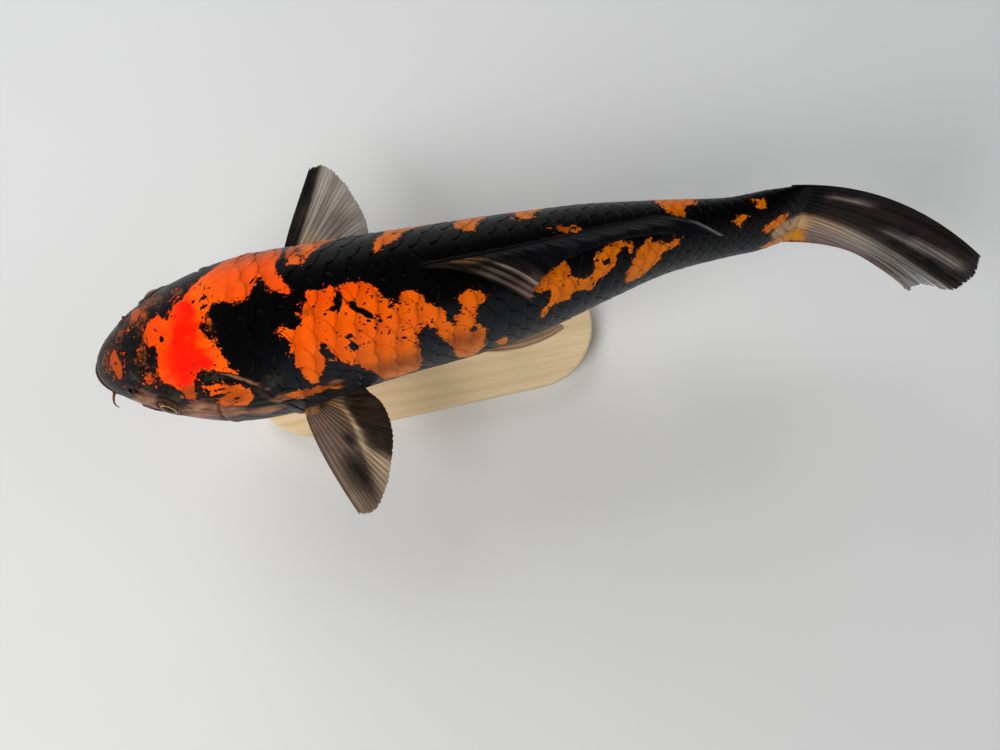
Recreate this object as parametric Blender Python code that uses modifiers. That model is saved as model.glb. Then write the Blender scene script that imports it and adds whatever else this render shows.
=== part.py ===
"""A koi carp at life size, swimming with its tail fin swept to its left, held by a plain display stand.

The head points along -X and the fish's left side faces -Y. The origin is the middle of the stand's
underside, on the floor. Places on the fish are shares of its length: x from the snout to the root of the
tail fin, y across and z up from the long axis of the body.
"""

import math

import bmesh
import bpy
import numpy as np
from mathutils import Matrix, Vector

# Driving dimensions, in metres
BODY_LENGTH = 0.390  # snout to the root of the tail fin
AXIS_HEIGHT = 0.122  # floor to the long axis of the body
GAP = 0.0003  # between pieces that touch

# Stand, in metres
BASE_LENGTH = 0.236
BASE_WIDTH = 0.092
BASE_THICKNESS = 0.014
BASE_CORNER = 0.042
BASE_EDGE = 0.002
BASE_AT = 0.435  # share of the body length that stands over the middle of the base
ROD_RADIUS = 0.004
ROD_FOOT_RADIUS = 0.009
ROD_FOOT_HEIGHT = 0.004
ROD_IN_BODY = 0.007
ROD_CHAMFER = 0.0009
ROD_AT = {"front": 0.315, "rear": 0.575}

# Body sections: place, half width, back, belly, level of the widest point, sideways shift
SECTIONS = (
    (0.000, 0.0000, -0.0260, -0.0260, -0.026, 0.0000),
    (0.030, 0.0440, 0.0220, -0.0580, -0.024, -0.0005),
    (0.070, 0.0690, 0.0500, -0.0750, -0.022, -0.0015),
    (0.120, 0.0910, 0.0755, -0.0910, -0.020, -0.0035),
    (0.180, 0.1065, 0.0990, -0.1075, -0.018, -0.0060),
    (0.250, 0.1110, 0.1170, -0.1220, -0.012, -0.0065),
    (0.330, 0.1035, 0.1330, -0.1320, -0.006, -0.0055),
    (0.420, 0.0957, 0.1380, -0.1350, 0.000, -0.0045),
    (0.520, 0.0895, 0.1310, -0.1310, 0.000, -0.0045),
    (0.620, 0.0810, 0.1160, -0.1170, 0.000, -0.0010),
    (0.720, 0.0650, 0.0970, -0.0930, 0.000, 0.0065),
    (0.820, 0.0460, 0.0765, -0.0695, 0.000, 0.0085),
    (0.910, 0.0320, 0.0600, -0.0560, 0.000, 0.0025),
    (0.965, 0.0260, 0.0590, -0.0560, 0.000, 0.0020),
    (1.000, 0.0110, 0.0610, -0.0580, 0.000, 0.0020),
)
HEAD_ROUNDNESS = 0.88  # below 1 squares the section
TRUNK_ROUNDNESS = 0.97
TAIL_ROLL = math.radians(20)  # the back of the tail leans to the fish's right
ROLL_FROM = 0.76
ROLL_TO = 1.0

# Head
HEAD_HALF_WIDTH = 0.105
GILL_OPENING = ((0, 0.222), (45, 0.240), (88, 0.269), (120, 0.256), (150, 0.216), (180, 0.186))
GILL_COVER_FRONT = 0.166  # at the middle of the cheek
GILL_COVER_BOW = 0.034  # how far its front border swings back above and below that
GILL_COVER_SHORT = 0.0012  # of the gill opening
GILL_COVER_TOP = 48
GILL_COVER_BOTTOM = 150
GILL_COVER_THICKNESS = 0.0075
POCKET_OUT = 0.012  # how far a pocket's cutter stands out of the head
EYE_AT = (0.105, 67)
EYE_RADIUS = 0.0215
EYE_STANDS_OUT = 0.0068
MOUTH_LEVEL = -0.031
MOUTH_SLOPE = math.radians(24)
MOUTH_FRONT = 0.0016
MOUTH_CORNER = 0.046
JAW_LENGTH = 0.064
JAW_CUT_FROM = 0.12  # the lower jaw is cut from this much of the front of the body
LIP_RADIUS = 0.0062
LIP_TIP_RADIUS = 0.35  # of the lip's own radius, at the corner of the mouth

# Barbels: root place and angle on the head, then the bend and the tip from the root
BARBELS = {
    "long": ((0.049, 112), (0.012, 0.016, -0.014), (0.038, 0.011, -0.040), 0.0030),
    "short": ((0.016, 98), (-0.010, 0.016, -0.004), (-0.006, 0.018, -0.022), 0.0022),
}
BARBEL_TIP = 0.35  # of the radius at the root

# Where the trunk is parted
TRUNK_PARTED = 0.46
STALK_FROM = 0.74

# Fins. Roots lie on the body, as places and angles, or in space. Bends and tips are in space.
# The front ray comes first.
# Each ray is a curve from its root towards its bend to its tip.
FIN_THICKNESS = 0.0010
FIN_CLEAR = 0.0022  # root of a fin or a barbel to the surface of the body
DORSAL = {
    "roots": ((0.475, 0), (0.585, 0), (0.695, 0), (0.800, 0)),
    "bends": ((0.530, -0.018, 0.165), (0.668, -0.010, 0.130), (0.840, -0.004, 0.098)),
    "tips": (
        (0.607, -0.0705, 0.098),
        (0.620, -0.0480, 0.114),
        (0.651, -0.0315, 0.1230),
        (0.704, -0.0195, 0.1165),
        (0.776, -0.0170, 0.1035),
        (0.872, -0.0324, 0.085),
    ),
}
ANAL = {
    "roots": ((0.752, 180), (0.790, 180), (0.826, 180)),
    "bends": ((0.803, 0.004, -0.121), (0.834, 0.005, -0.103), (0.860, 0.003, -0.081)),
    "tips": (
        (0.864, 0.006, -0.150),
        (0.882, 0.006, -0.130),
        (0.891, 0.005, -0.108),
        (0.896, 0.001, -0.089),
    ),
}
TAIL_PARTING = 0.018  # share of the root left open between the lobes
TAIL_ROOT = ((1.0035, 0.0215, 0.0580), (1.0035, 0.0020, 0.0020), (1.0035, -0.0175, -0.0550))
TAIL_BENDS = (
    (1.124, -0.020, 0.092),
    (1.100, -0.040, 0.045),
    (1.092, -0.040, -0.002),
    (1.105, -0.040, -0.048),
    (1.150, -0.036, -0.088),
)
TAIL_TIPS = (
    (1.186, -0.132, 0.085),
    (1.185, -0.151, 0.060),
    (1.172, -0.158, 0.030),
    (1.172, -0.143, -0.008),
    (1.172, -0.127, -0.050),
    (1.190, -0.126, -0.092),
    (1.194, -0.118, -0.118),
)
# On the left side. The right one is its mirror image, swept further back.
PECTORAL = {
    "roots": ((0.264, 112), (0.278, 121), (0.292, 130)),
    "bends": ((0.257, 0.154, -0.088), (0.318, 0.155, -0.092), (0.326, 0.090, -0.098)),
    "tips": (
        (0.307, 0.275, -0.098),
        (0.328, 0.274, -0.099),
        (0.350, 0.248, -0.100),
        (0.367, 0.208, -0.100),
        (0.377, 0.167, -0.100),
        (0.372, 0.124, -0.100),
        (0.350, 0.091, -0.102),
    ),
}
PECTORAL_SWEEP = {"left": 0.0, "right": 0.024}
PELVIC = {
    "roots": ((0.496, 145), (0.513, 151), (0.530, 157)),
    "bends": ((0.598, 0.0985, -0.125), (0.590, 0.060, -0.138), (0.566, 0.036, -0.142)),
    "tips": (
        (0.6716, 0.0547, -0.135),
        (0.662, 0.046, -0.143),
        (0.640, 0.038, -0.147),
        (0.605, 0.030, -0.145),
    ),
}

AROUND = 40  # faces round the body


def curve_through(knots, values, places):
    """Values at the places, on a smooth curve through the values at the knots."""
    knots = np.asarray(knots, float)
    values = np.asarray(values, float)
    places = np.asarray(places, float)
    slopes = np.gradient(values, knots, axis=0)
    k = np.clip(np.searchsorted(knots, places, side="right") - 1, 0, len(knots) - 2)
    span = (knots[k + 1] - knots[k])[..., None]
    t = (places - knots[k])[..., None] / span
    start = (1 + 2 * t) * (1 - t) ** 2 * values[k] + t * (1 - t) ** 2 * span * slopes[k]
    end = t * t * (3 - 2 * t) * values[k + 1] + t * t * (t - 1) * span * slopes[k + 1]
    return start + end


def ease(t):
    """0 to 1 with a soft start and end."""
    t = np.clip(t, 0, 1)
    return t * t * (3 - 2 * t)


def body_surface(s, angle):
    """Points of the body, with the angle in degrees from the back, positive towards the fish's right."""
    s, angle = np.broadcast_arrays(np.asarray(s, float), np.asarray(angle, float))
    table = np.array(SECTIONS)
    # The square root spaces the sections so that the snout comes out round.
    sizes = curve_through(np.sqrt(table[:, 0]), table[:, 1:], np.sqrt(np.clip(s, 0, 1)))
    width, back, belly, level, shift = np.moveaxis(sizes, -1, 0)
    power = HEAD_ROUNDNESS + (TRUNK_ROUNDNESS - HEAD_ROUNDNESS) * ease((s - 0.15) / 0.25)
    across, up = np.sin(np.radians(angle)), np.cos(np.radians(angle))
    y = width * np.sign(across) * np.abs(across) ** power
    height = np.where(up > 0, back - level, level - belly)
    z = level + height * np.sign(up) * np.abs(up) ** power
    roll = TAIL_ROLL * ease((s - ROLL_FROM) / (ROLL_TO - ROLL_FROM))
    turned_y = y * np.cos(roll) + z * np.sin(roll)
    turned_z = z * np.cos(roll) - y * np.sin(roll)
    return np.stack([s, turned_y + shift, turned_z], axis=-1)


def body_normal(s, angle):
    """Unit vector straight out of the body."""
    step = 1e-3
    along = body_surface(s + step, angle) - body_surface(s - step, angle)
    round_ = body_surface(s, angle + 1) - body_surface(s, angle - 1)
    normal = np.cross(along, round_)
    return normal / np.linalg.norm(normal, axis=-1, keepdims=True)


def gill_opening(angle):
    """Where the head ends: the nape on the back, further back on the side, forward at the throat."""
    border = np.array(GILL_OPENING)
    return curve_through(border[:, 0], border[:, 1:], np.abs(angle))[..., 0]


def metres(points):
    """Shares of the body length to metres from the fish's zero, which is on its axis over the base."""
    return (np.asarray(points, float) - (BASE_AT, 0, 0)) * BODY_LENGTH


def finish(name, colour, roughness, metallic=0.0):
    material = bpy.data.materials.new(name)
    material.use_nodes = True
    shader = material.node_tree.nodes["Principled BSDF"]
    shader.inputs["Base Color"].default_value = (*colour, 1)
    shader.inputs["Roughness"].default_value = roughness
    shader.inputs["Metallic"].default_value = metallic
    material.diffuse_color = (*colour, 1)
    return material


class Model:
    """The koi's collection, the cutters' collection and the empty that carries the fish."""

    def __init__(self):
        self.parts = bpy.data.collections.new("koi_carp")
        self.cutters = bpy.data.collections.new("cutters")
        self.cutters.hide_render = True
        for collection in (self.parts, self.cutters):
            bpy.context.scene.collection.children.link(collection)
        self.fish = bpy.data.objects.new("fish", None)
        self.fish.location = (0, 0, AXIS_HEIGHT)
        self.parts.objects.link(self.fish)

    def add(self, name, mesh, material, at=(0, 0, 0)):
        """A part of the fish whose mesh is in the fish's metres. Its origin goes to the place given."""
        mesh.transform(Matrix.Translation(-Vector(at)))
        part = bpy.data.objects.new(name, mesh)
        part.location = at
        part.parent = self.fish
        part.data.materials.append(material)
        self.parts.objects.link(part)
        return part

    def cutter(self, name, mesh):
        tool = bpy.data.objects.new(name, mesh)
        tool.parent = self.fish
        tool.hide_render = True
        tool.display_type = "WIRE"
        self.cutters.objects.link(tool)
        return tool


def boolean(part, tool, operation="DIFFERENCE"):
    cut = part.modifiers.new(tool.name, "BOOLEAN")
    cut.object = tool
    cut.operation = operation
    cut.solver = "EXACT"


def smooth(part, sharp_above=40):
    part.data.shade_smooth()
    part.data.set_sharp_from_angle(angle=math.radians(sharp_above))


def skinned(name, rings):
    """A closed mesh through rings of points, its two ends filled as fans from their middles."""
    work = bmesh.new()
    rows = [[work.verts.new(p) for p in ring] for ring in rings]
    count = len(rows[0])
    for row, after in zip(rows, rows[1:]):
        for k in range(count):
            n = (k + 1) % count
            work.faces.new((row[k], row[n], after[n], after[k]))
    for row, turn in ((rows[0], -1), (rows[-1], 1)):
        middle = work.verts.new(sum((v.co for v in row), Vector()) / count)
        for k in range(count):
            pair = (row[k], row[(k + 1) % count])
            work.faces.new((*pair[::turn], middle))
    bmesh.ops.remove_doubles(work, verts=work.verts, dist=1e-6)
    bmesh.ops.recalc_face_normals(work, faces=work.faces)
    mesh = bpy.data.meshes.new(name)
    work.to_mesh(mesh)
    work.free()
    return mesh


def sheet(name, points):
    """An open mesh through a grid of points."""
    rows, columns = points.shape[:2]
    work = bmesh.new()
    verts = [[work.verts.new(points[i, j]) for j in range(columns)] for i in range(rows)]
    for i in range(rows - 1):
        for j in range(columns - 1):
            work.faces.new((verts[i][j], verts[i + 1][j], verts[i + 1][j + 1], verts[i][j + 1]))
    mesh = bpy.data.meshes.new(name)
    work.to_mesh(mesh)
    work.free()
    return mesh


def body_length_between(start, end, steps):
    """Rings of the body from one border to the next. A border is a place or a function of the angle."""
    angles = np.arange(AROUND) * 360 / AROUND
    angles = np.where(angles > 180, angles - 360, angles)
    borders = [border(angles) if callable(border) else np.full(AROUND, border) for border in (start, end)]
    rings = []
    for t in np.linspace(0, 1, steps + 1):
        root = (1 - t) * np.sqrt(borders[0]) + t * np.sqrt(borders[1])
        rings.append(metres(body_surface(root**2, angles)))
    return rings


def gill_patch(side, out, spread=0.0):
    """A grid over one gill cover, this far out of the body, its borders spread by a share."""
    across, down = np.meshgrid(np.linspace(0, 1, 6), np.linspace(0, 1, 13), indexing="ij")
    turn = math.degrees(spread / HEAD_HALF_WIDTH)
    angle = GILL_COVER_TOP - turn + (GILL_COVER_BOTTOM - GILL_COVER_TOP + 2 * turn) * down
    rear = gill_opening(angle) + (2 * spread if spread else -GILL_COVER_SHORT)
    # The front border is a bow, deepest at the middle of the cheek.
    bow = np.clip(1 - (2 * down - 1) ** 2, 0, 1) ** 0.5
    front = GILL_COVER_FRONT + GILL_COVER_BOW * (1 - bow) - spread
    place = front + (rear - front) * across
    return metres(body_surface(place, side * angle) + body_normal(place, side * angle) * out)


def slab(name, outer, inner):
    """A closed plate between two grids of the same size."""
    rows, columns = outer.shape[:2]
    work = bmesh.new()
    layers = [
        [[work.verts.new(grid[i, j]) for j in range(columns)] for i in range(rows)]
        for grid in (outer, inner)
    ]
    for layer in layers:
        for i in range(rows - 1):
            for j in range(columns - 1):
                work.faces.new((layer[i][j], layer[i + 1][j], layer[i + 1][j + 1], layer[i][j + 1]))
    top, bottom = layers
    rim = [(i, 0) for i in range(rows)] + [(rows - 1, j) for j in range(1, columns)]
    rim += [(i, columns - 1) for i in range(rows - 2, -1, -1)]
    rim += [(0, j) for j in range(columns - 2, 0, -1)]
    for (i, j), (m, n) in zip(rim, rim[1:] + rim[:1]):
        work.faces.new((top[i][j], top[m][n], bottom[m][n], bottom[i][j]))
    bmesh.ops.recalc_face_normals(work, faces=work.faces)
    mesh = bpy.data.meshes.new(name)
    work.to_mesh(mesh)
    work.free()
    return mesh


def tube(name, path, radii, sides=8):
    """A closed mesh tube through a path, with one radius for each point."""
    path = np.asarray(path, float)
    ahead = np.gradient(path, axis=0)
    ahead /= np.linalg.norm(ahead, axis=1, keepdims=True)
    up = np.array((0.0, 0.0, 1.0))
    rings = []
    for point, forward, radius in zip(path, ahead, radii):
        out = np.cross(forward, up)
        out /= np.linalg.norm(out)
        over = np.cross(out, forward)
        turns = np.arange(sides) * 2 * math.pi / sides
        rings.append([point + radius * (math.cos(a) * out + math.sin(a) * over) for a in turns])
    return skinned(name, rings)


def on_body(places, clear=FIN_CLEAR):
    """Points just off the body, at places and angles."""
    places = np.asarray(places, float)
    return body_surface(places[:, 0], places[:, 1]) + body_normal(places[:, 0], places[:, 1]) * clear


def evenly(points, shares):
    return curve_through(np.linspace(0, 1, len(points)), points, shares)


def fin_grid(roots, bends, tips, start=0.0, end=1.0, rays=9, rows=7):
    """Points of a fin, ray by ray, between two shares of its root."""
    shares = np.linspace(start, end, rays)
    root, bend, tip = (evenly(points, shares)[:, None] for points in (roots, bends, tips))
    t = np.linspace(0, 1, rows)[None, :, None]
    return metres((1 - t) ** 2 * root + 2 * t * (1 - t) * bend + t * t * tip)


def mirrored(points, side, sweep=0.0):
    return [(x + sweep, side * y, z) for x, y, z in points]


def add_fin(model, name, grid, material):
    """A fin of even thickness, its origin at the middle of its root."""
    root = grid[:, 0].mean(axis=0)
    fin = model.add(name, sheet(name, grid), material, root)
    solid = fin.modifiers.new("thickness", "SOLIDIFY")
    solid.thickness = FIN_THICKNESS
    solid.offset = 0
    smooth(fin)
    return fin


def add_fins(model, material):
    dorsal = fin_grid(on_body(DORSAL["roots"]), DORSAL["bends"], DORSAL["tips"], rays=16)
    add_fin(model, "fin_dorsal", dorsal, material)
    anal = fin_grid(on_body(ANAL["roots"]), ANAL["bends"], ANAL["tips"], rays=8)
    add_fin(model, "fin_anal", anal, material)
    parting = TAIL_PARTING / 2
    for name, start, end in (("upper", 0, 0.5 - parting), ("lower", 0.5 + parting, 1)):
        lobe = fin_grid(TAIL_ROOT, TAIL_BENDS, TAIL_TIPS, start, end, rays=9, rows=9)
        add_fin(model, f"fin_tail_{name}", lobe, material)
    for name, side in (("left", -1), ("right", 1)):
        for kind, fin, sweep in (("pectoral", PECTORAL, PECTORAL_SWEEP[name]), ("pelvic", PELVIC, 0.0)):
            roots = on_body([(place, side * angle) for place, angle in fin["roots"]])
            bends = mirrored(fin["bends"], side, sweep / 2)
            tips = mirrored(fin["tips"], side, sweep)
            add_fin(model, f"fin_{kind}_{name}", fin_grid(roots, bends, tips), material)


def ball(name, radius, at, segments=16, rings=9):
    work = bmesh.new()
    bmesh.ops.create_uvsphere(work, u_segments=segments, v_segments=rings, radius=radius)
    work.transform(Matrix.Translation(at))
    mesh = bpy.data.meshes.new(name)
    work.to_mesh(mesh)
    work.free()
    return mesh


def jaw_block(name, spread):
    """A box with the line of the mouth as its top and the chin as its rear end, then spread."""
    reach, ahead = JAW_LENGTH * BODY_LENGTH, JAW_LENGTH * BODY_LENGTH
    depth = width = 4 * JAW_LENGTH * BODY_LENGTH
    work = bmesh.new()
    bmesh.ops.create_cube(work, size=1)
    work.transform(Matrix.Diagonal((reach + ahead + spread, width, depth, 1)))
    work.transform(Matrix.Translation(((reach - ahead + spread) / 2, 0, spread - depth / 2)))
    work.transform(Matrix.Rotation(MOUTH_SLOPE, 4, "Y"))
    work.transform(Matrix.Translation(metres((0, 0, MOUTH_LEVEL))))
    mesh = bpy.data.meshes.new(name)
    work.to_mesh(mesh)
    work.free()
    return mesh


def mouth_line(up, points=15):
    """The edge of one lip from corner to corner, this share above the line where the lips meet."""
    path = []
    for t in np.linspace(-1, 1, points):
        s = MOUTH_FRONT + (MOUTH_CORNER - MOUTH_FRONT) * t * t
        level = MOUTH_LEVEL - math.tan(MOUTH_SLOPE) * s
        low, high = 0.0, 180.0
        for _ in range(40):
            middle = (low + high) / 2
            if body_surface(s, middle)[2] > level:
                low = middle
            else:
                high = middle
        x, y, z = body_surface(s, math.copysign(low, t))
        path.append((x, y, z + up))
    return path


def add_head(model, red, dark):
    """The head with its lip and pockets for eyes and gill covers, and the lower jaw with its lip."""
    head = model.add("head", skinned("head", body_length_between(0, gill_opening, 14)), red)
    jaw = model.add("lower_jaw", skinned("lower_jaw", body_length_between(0, JAW_CUT_FROM, 9)), dark)
    thickest = LIP_RADIUS * BODY_LENGTH
    taper = [thickest * (1 - (1 - LIP_TIP_RADIUS) * t * t) for t in np.linspace(-1, 1, 15)]
    for part, name, up in ((head, "upper_lip", 0.75), (jaw, "lower_lip", -0.75)):
        path = metres(mouth_line(up * LIP_RADIUS))
        boolean(part, model.cutter(name, tube(name, path, taper)), "UNION")
    boolean(head, model.cutter("jaw_space", jaw_block("jaw_space", GAP / 2)))
    boolean(jaw, model.cutter("jaw_shape", jaw_block("jaw_shape", -GAP / 2)), "INTERSECT")
    return head, jaw


def add_eyes(model, head, material):
    radius = EYE_RADIUS * BODY_LENGTH
    place, angle = EYE_AT
    for name, side in (("left", -1), ("right", 1)):
        out = body_normal(place, side * angle)
        centre = metres(body_surface(place, side * angle) - out * (EYE_RADIUS - EYE_STANDS_OUT))
        socket = f"eye_socket_{name}"
        boolean(head, model.cutter(socket, ball(socket, radius + GAP, centre)))
        smooth(model.add(f"eye_{name}", ball(f"eye_{name}", radius, centre), material, centre))


def add_gill_covers(model, head, material):
    """Each gill cover is a plate in a pocket of the head."""
    for name, side in (("left", -1), ("right", 1)):
        inner = -GILL_COVER_THICKNESS
        plate = slab(f"gill_cover_{name}", gill_patch(side, 0), gill_patch(side, inner))
        margin = GAP / BODY_LENGTH
        pocket = f"gill_pocket_{name}"
        tool = slab(pocket, gill_patch(side, POCKET_OUT, margin), gill_patch(side, inner - margin, margin))
        boolean(head, model.cutter(pocket, tool))
        hinge = metres(body_surface(GILL_COVER_FRONT, side * 90))
        smooth(model.add(f"gill_cover_{name}", plate, material, hinge))


def add_barbels(model, material):
    for size, (root, bend, tip, radius) in BARBELS.items():
        for name, side in (("left", -1), ("right", 1)):
            place, angle = root
            start = body_surface(place, side * angle) + body_normal(place, side * angle) * FIN_CLEAR
            curve = bpy.data.curves.new(f"barbel_{size}_{name}", "CURVE")
            curve.dimensions = "3D"
            curve.bevel_depth = radius * BODY_LENGTH
            curve.bevel_resolution = 1
            curve.use_fill_caps = True
            spline = curve.splines.new("POLY")
            count = 7
            spline.points.add(count - 1)
            for k, point in enumerate(spline.points):
                t = k / (count - 1)
                out = 2 * t * (1 - t) * np.array(bend) + t * t * np.array(tip)
                point.co = (*(out * (1, side, 1) * BODY_LENGTH), 1)
                point.radius = 1 - (1 - BARBEL_TIP) * t
            barbel = bpy.data.objects.new(curve.name, curve)
            barbel.location = metres(start)
            barbel.parent = model.fish
            curve.materials.append(material)
            model.parts.objects.link(barbel)


def rod_top(place):
    """Height above the floor of a rod that enters the belly at this place."""
    return AXIS_HEIGHT + body_surface(place, 180)[2] * BODY_LENGTH + ROD_IN_BODY


def add_stand(model, trunk, wood, steel):
    """A flat base and two turned rods, each with a foot. The rods end in blind holes in the belly."""
    work = bmesh.new()
    bmesh.ops.create_cube(work, size=1)
    work.transform(Matrix.Diagonal((BASE_LENGTH, BASE_WIDTH, BASE_THICKNESS, 1)))
    upright = [e for e in work.edges if abs(e.verts[0].co.z - e.verts[1].co.z) > BASE_THICKNESS / 2]
    bmesh.ops.bevel(work, geom=upright, offset=BASE_CORNER, segments=6, profile=0.5, affect="EDGES")
    mesh = bpy.data.meshes.new("stand_base")
    work.to_mesh(mesh)
    work.free()
    base = bpy.data.objects.new("stand_base", mesh)
    base.location = (0, 0, BASE_THICKNESS / 2)
    edge = base.modifiers.new("edge", "BEVEL")
    edge.width = BASE_EDGE
    edge.segments = 2
    edge.limit_method = "ANGLE"
    edge.angle_limit = math.radians(60)
    mesh.materials.append(wood)
    model.parts.objects.link(base)
    smooth(base)
    for name, place in ROD_AT.items():
        x, y, _ = metres(body_surface(place, 180))
        foot = BASE_THICKNESS + GAP
        top = rod_top(place)
        profile = (
            (0, top),
            (ROD_RADIUS - ROD_CHAMFER, top),
            (ROD_RADIUS, top - ROD_CHAMFER),
            (ROD_RADIUS, foot + ROD_FOOT_HEIGHT),
            (ROD_FOOT_RADIUS - ROD_CHAMFER, foot + ROD_FOOT_HEIGHT),
            (ROD_FOOT_RADIUS, foot + ROD_FOOT_HEIGHT - ROD_CHAMFER),
            (ROD_FOOT_RADIUS, foot),
            (0, foot),
        )
        line = bpy.data.meshes.new(f"stand_rod_{name}")
        points = [(r, 0, z) for r, z in profile]
        line.from_pydata(points, [(k, k + 1) for k in range(len(profile) - 1)], [])
        rod = bpy.data.objects.new(line.name, line)
        rod.location = (x, y, 0)
        turned = rod.modifiers.new("turned", "SCREW")
        turned.steps = turned.render_steps = 20
        turned.use_merge_vertices = True
        turned.merge_threshold = 1e-5
        line.materials.append(steel)
        model.parts.objects.link(rod)
        hole = f"rod_hole_{name}"
        bore = bmesh.new()
        length = ROD_IN_BODY * 8
        bmesh.ops.create_cone(
            bore,
            cap_ends=True,
            segments=20,
            radius1=ROD_RADIUS + GAP,
            radius2=ROD_RADIUS + GAP,
            depth=length,
        )
        bore.transform(Matrix.Translation((x, y, top + GAP - AXIS_HEIGHT - length / 2)))
        tool = bpy.data.meshes.new(hole)
        bore.to_mesh(tool)
        bore.free()
        boolean(trunk[name], model.cutter(hole, tool))


def main():
    for old in list(bpy.data.objects):
        bpy.data.objects.remove(old, do_unlink=True)
    model = Model()
    red = finish("bare_red", (0.80, 0.10, 0.01), 0.25)
    orange = finish("scaled_orange", (0.85, 0.20, 0.01), 0.3)
    black = finish("scaled_black", (0.012, 0.012, 0.016), 0.3)
    lip = finish("dark_lip", (0.05, 0.02, 0.02), 0.35)
    web = finish("fin_web", (0.08, 0.07, 0.07), 0.4)
    glassy = finish("eye", (0.01, 0.01, 0.01), 0.05)
    wood = finish("pale_wood", (0.55, 0.42, 0.28), 0.5)
    steel = finish("brushed_steel", (0.6, 0.6, 0.6), 0.35, 1.0)

    head, _ = add_head(model, red, lip)
    add_eyes(model, head, glassy)
    add_gill_covers(model, head, orange)
    smooth(head)
    add_barbels(model, lip)

    step = GAP / BODY_LENGTH
    lengths = (
        ("trunk_front", lambda angle: gill_opening(angle) + step, TRUNK_PARTED, 7, orange),
        ("trunk_rear", TRUNK_PARTED + step, STALK_FROM, 8, orange),
        ("tail_stalk", STALK_FROM + step, 1.0, 9, black),
    )
    trunk = {}
    for name, start, end, steps, material in lengths:
        trunk[name] = model.add(name, skinned(name, body_length_between(start, end, steps)), material)
        smooth(trunk[name])
    add_fins(model, web)
    add_stand(model, {"front": trunk["trunk_front"], "rear": trunk["trunk_rear"]}, wood, steel)


main()
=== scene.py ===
"""A koi carp at life size on its display stand: its skin, scales, fins, eyes, barbels, the stand and the studio.

Places and sizes on the fish are shares of its length, until metres() puts them in the frame of the solids. Angles are
degrees round the body from the middle of the back, positive towards the fish's right. "Round" is the distance over the
skin from there, also in shares of the length. Relief, meshes, stand and studio are in metres.
"""

import math

import bpy
import numpy as np
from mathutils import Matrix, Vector


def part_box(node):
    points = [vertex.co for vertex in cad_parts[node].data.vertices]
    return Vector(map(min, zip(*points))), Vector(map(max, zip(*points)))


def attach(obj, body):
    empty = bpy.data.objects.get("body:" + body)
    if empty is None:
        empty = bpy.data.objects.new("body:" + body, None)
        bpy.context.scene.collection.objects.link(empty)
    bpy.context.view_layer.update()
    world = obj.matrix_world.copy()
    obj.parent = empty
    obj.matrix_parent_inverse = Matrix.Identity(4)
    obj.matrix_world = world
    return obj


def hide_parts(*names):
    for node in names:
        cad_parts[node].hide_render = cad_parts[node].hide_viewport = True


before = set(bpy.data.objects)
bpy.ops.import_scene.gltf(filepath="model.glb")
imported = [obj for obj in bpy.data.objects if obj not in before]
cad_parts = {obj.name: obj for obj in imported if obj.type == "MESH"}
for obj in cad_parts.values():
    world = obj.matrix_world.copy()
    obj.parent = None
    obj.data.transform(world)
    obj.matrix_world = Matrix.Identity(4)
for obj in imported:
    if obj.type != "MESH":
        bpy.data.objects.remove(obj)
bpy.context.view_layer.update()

# The body, as in the solids
BODY_LENGTH = 0.390
AXIS_HEIGHT = 0.122
BASE_AT = 0.435
SECTIONS = np.array((
    (0.000, 0.0000, -0.0260, -0.0260, -0.026, 0.0000),
    (0.030, 0.0440, 0.0220, -0.0580, -0.024, -0.0005),
    (0.070, 0.0690, 0.0500, -0.0750, -0.022, -0.0015),
    (0.120, 0.0910, 0.0755, -0.0910, -0.020, -0.0035),
    (0.180, 0.1065, 0.0990, -0.1075, -0.018, -0.0060),
    (0.250, 0.1110, 0.1170, -0.1220, -0.012, -0.0065),
    (0.330, 0.1035, 0.1330, -0.1320, -0.006, -0.0055),
    (0.420, 0.0957, 0.1380, -0.1350, 0.000, -0.0045),
    (0.520, 0.0895, 0.1310, -0.1310, 0.000, -0.0045),
    (0.620, 0.0810, 0.1160, -0.1170, 0.000, -0.0010),
    (0.720, 0.0650, 0.0970, -0.0930, 0.000, 0.0065),
    (0.820, 0.0460, 0.0765, -0.0695, 0.000, 0.0085),
    (0.910, 0.0320, 0.0600, -0.0560, 0.000, 0.0025),
    (0.965, 0.0260, 0.0590, -0.0560, 0.000, 0.0020),
    (1.000, 0.0110, 0.0610, -0.0580, 0.000, 0.0020),
))
HEAD_ROUNDNESS = 0.88
TRUNK_ROUNDNESS = 0.97
TAIL_ROLL = math.radians(20)
ROLL_FROM = 0.76
ROLL_TO = 1.0
GILL_OPENING = np.array(((0, 0.222), (45, 0.240), (88, 0.269), (120, 0.256), (150, 0.216), (180, 0.186)))
GILL_COVER_FRONT = 0.166
GILL_COVER_BOW = 0.034
GILL_COVER_TOP = 48
GILL_COVER_BOTTOM = 150
EYE_AT = (0.105, 67)
EYE_RADIUS = 0.0215
EYE_STANDS_OUT = 0.0068
EYE_BULGE = 0.012
EYE_CLOSES = math.pi * 0.94
NOSTRILS = ((0.0600, 47), (0.0715, 50))
MOUTH_LEVEL = -0.031
MOUTH_SLOPE = math.radians(24)
MOUTH_FRONT = 0.0016
MOUTH_CORNER = 0.046
LIP_RADIUS = 0.0062
LIP_TIP_RADIUS = 0.35
HEAD_DEGREE = 0.0007  # metres of skin for each degree round the head
THROAT_DEGREE = 0.0006
BARBELS = {
    "long": ((0.049, 112), (0.012, 0.016, -0.014), (0.038, 0.011, -0.040), 0.0030),
    "short": ((0.016, 98), (-0.010, 0.016, -0.004), (-0.006, 0.018, -0.022), 0.0022),
}
BARBEL_TIP = 0.35

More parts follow.
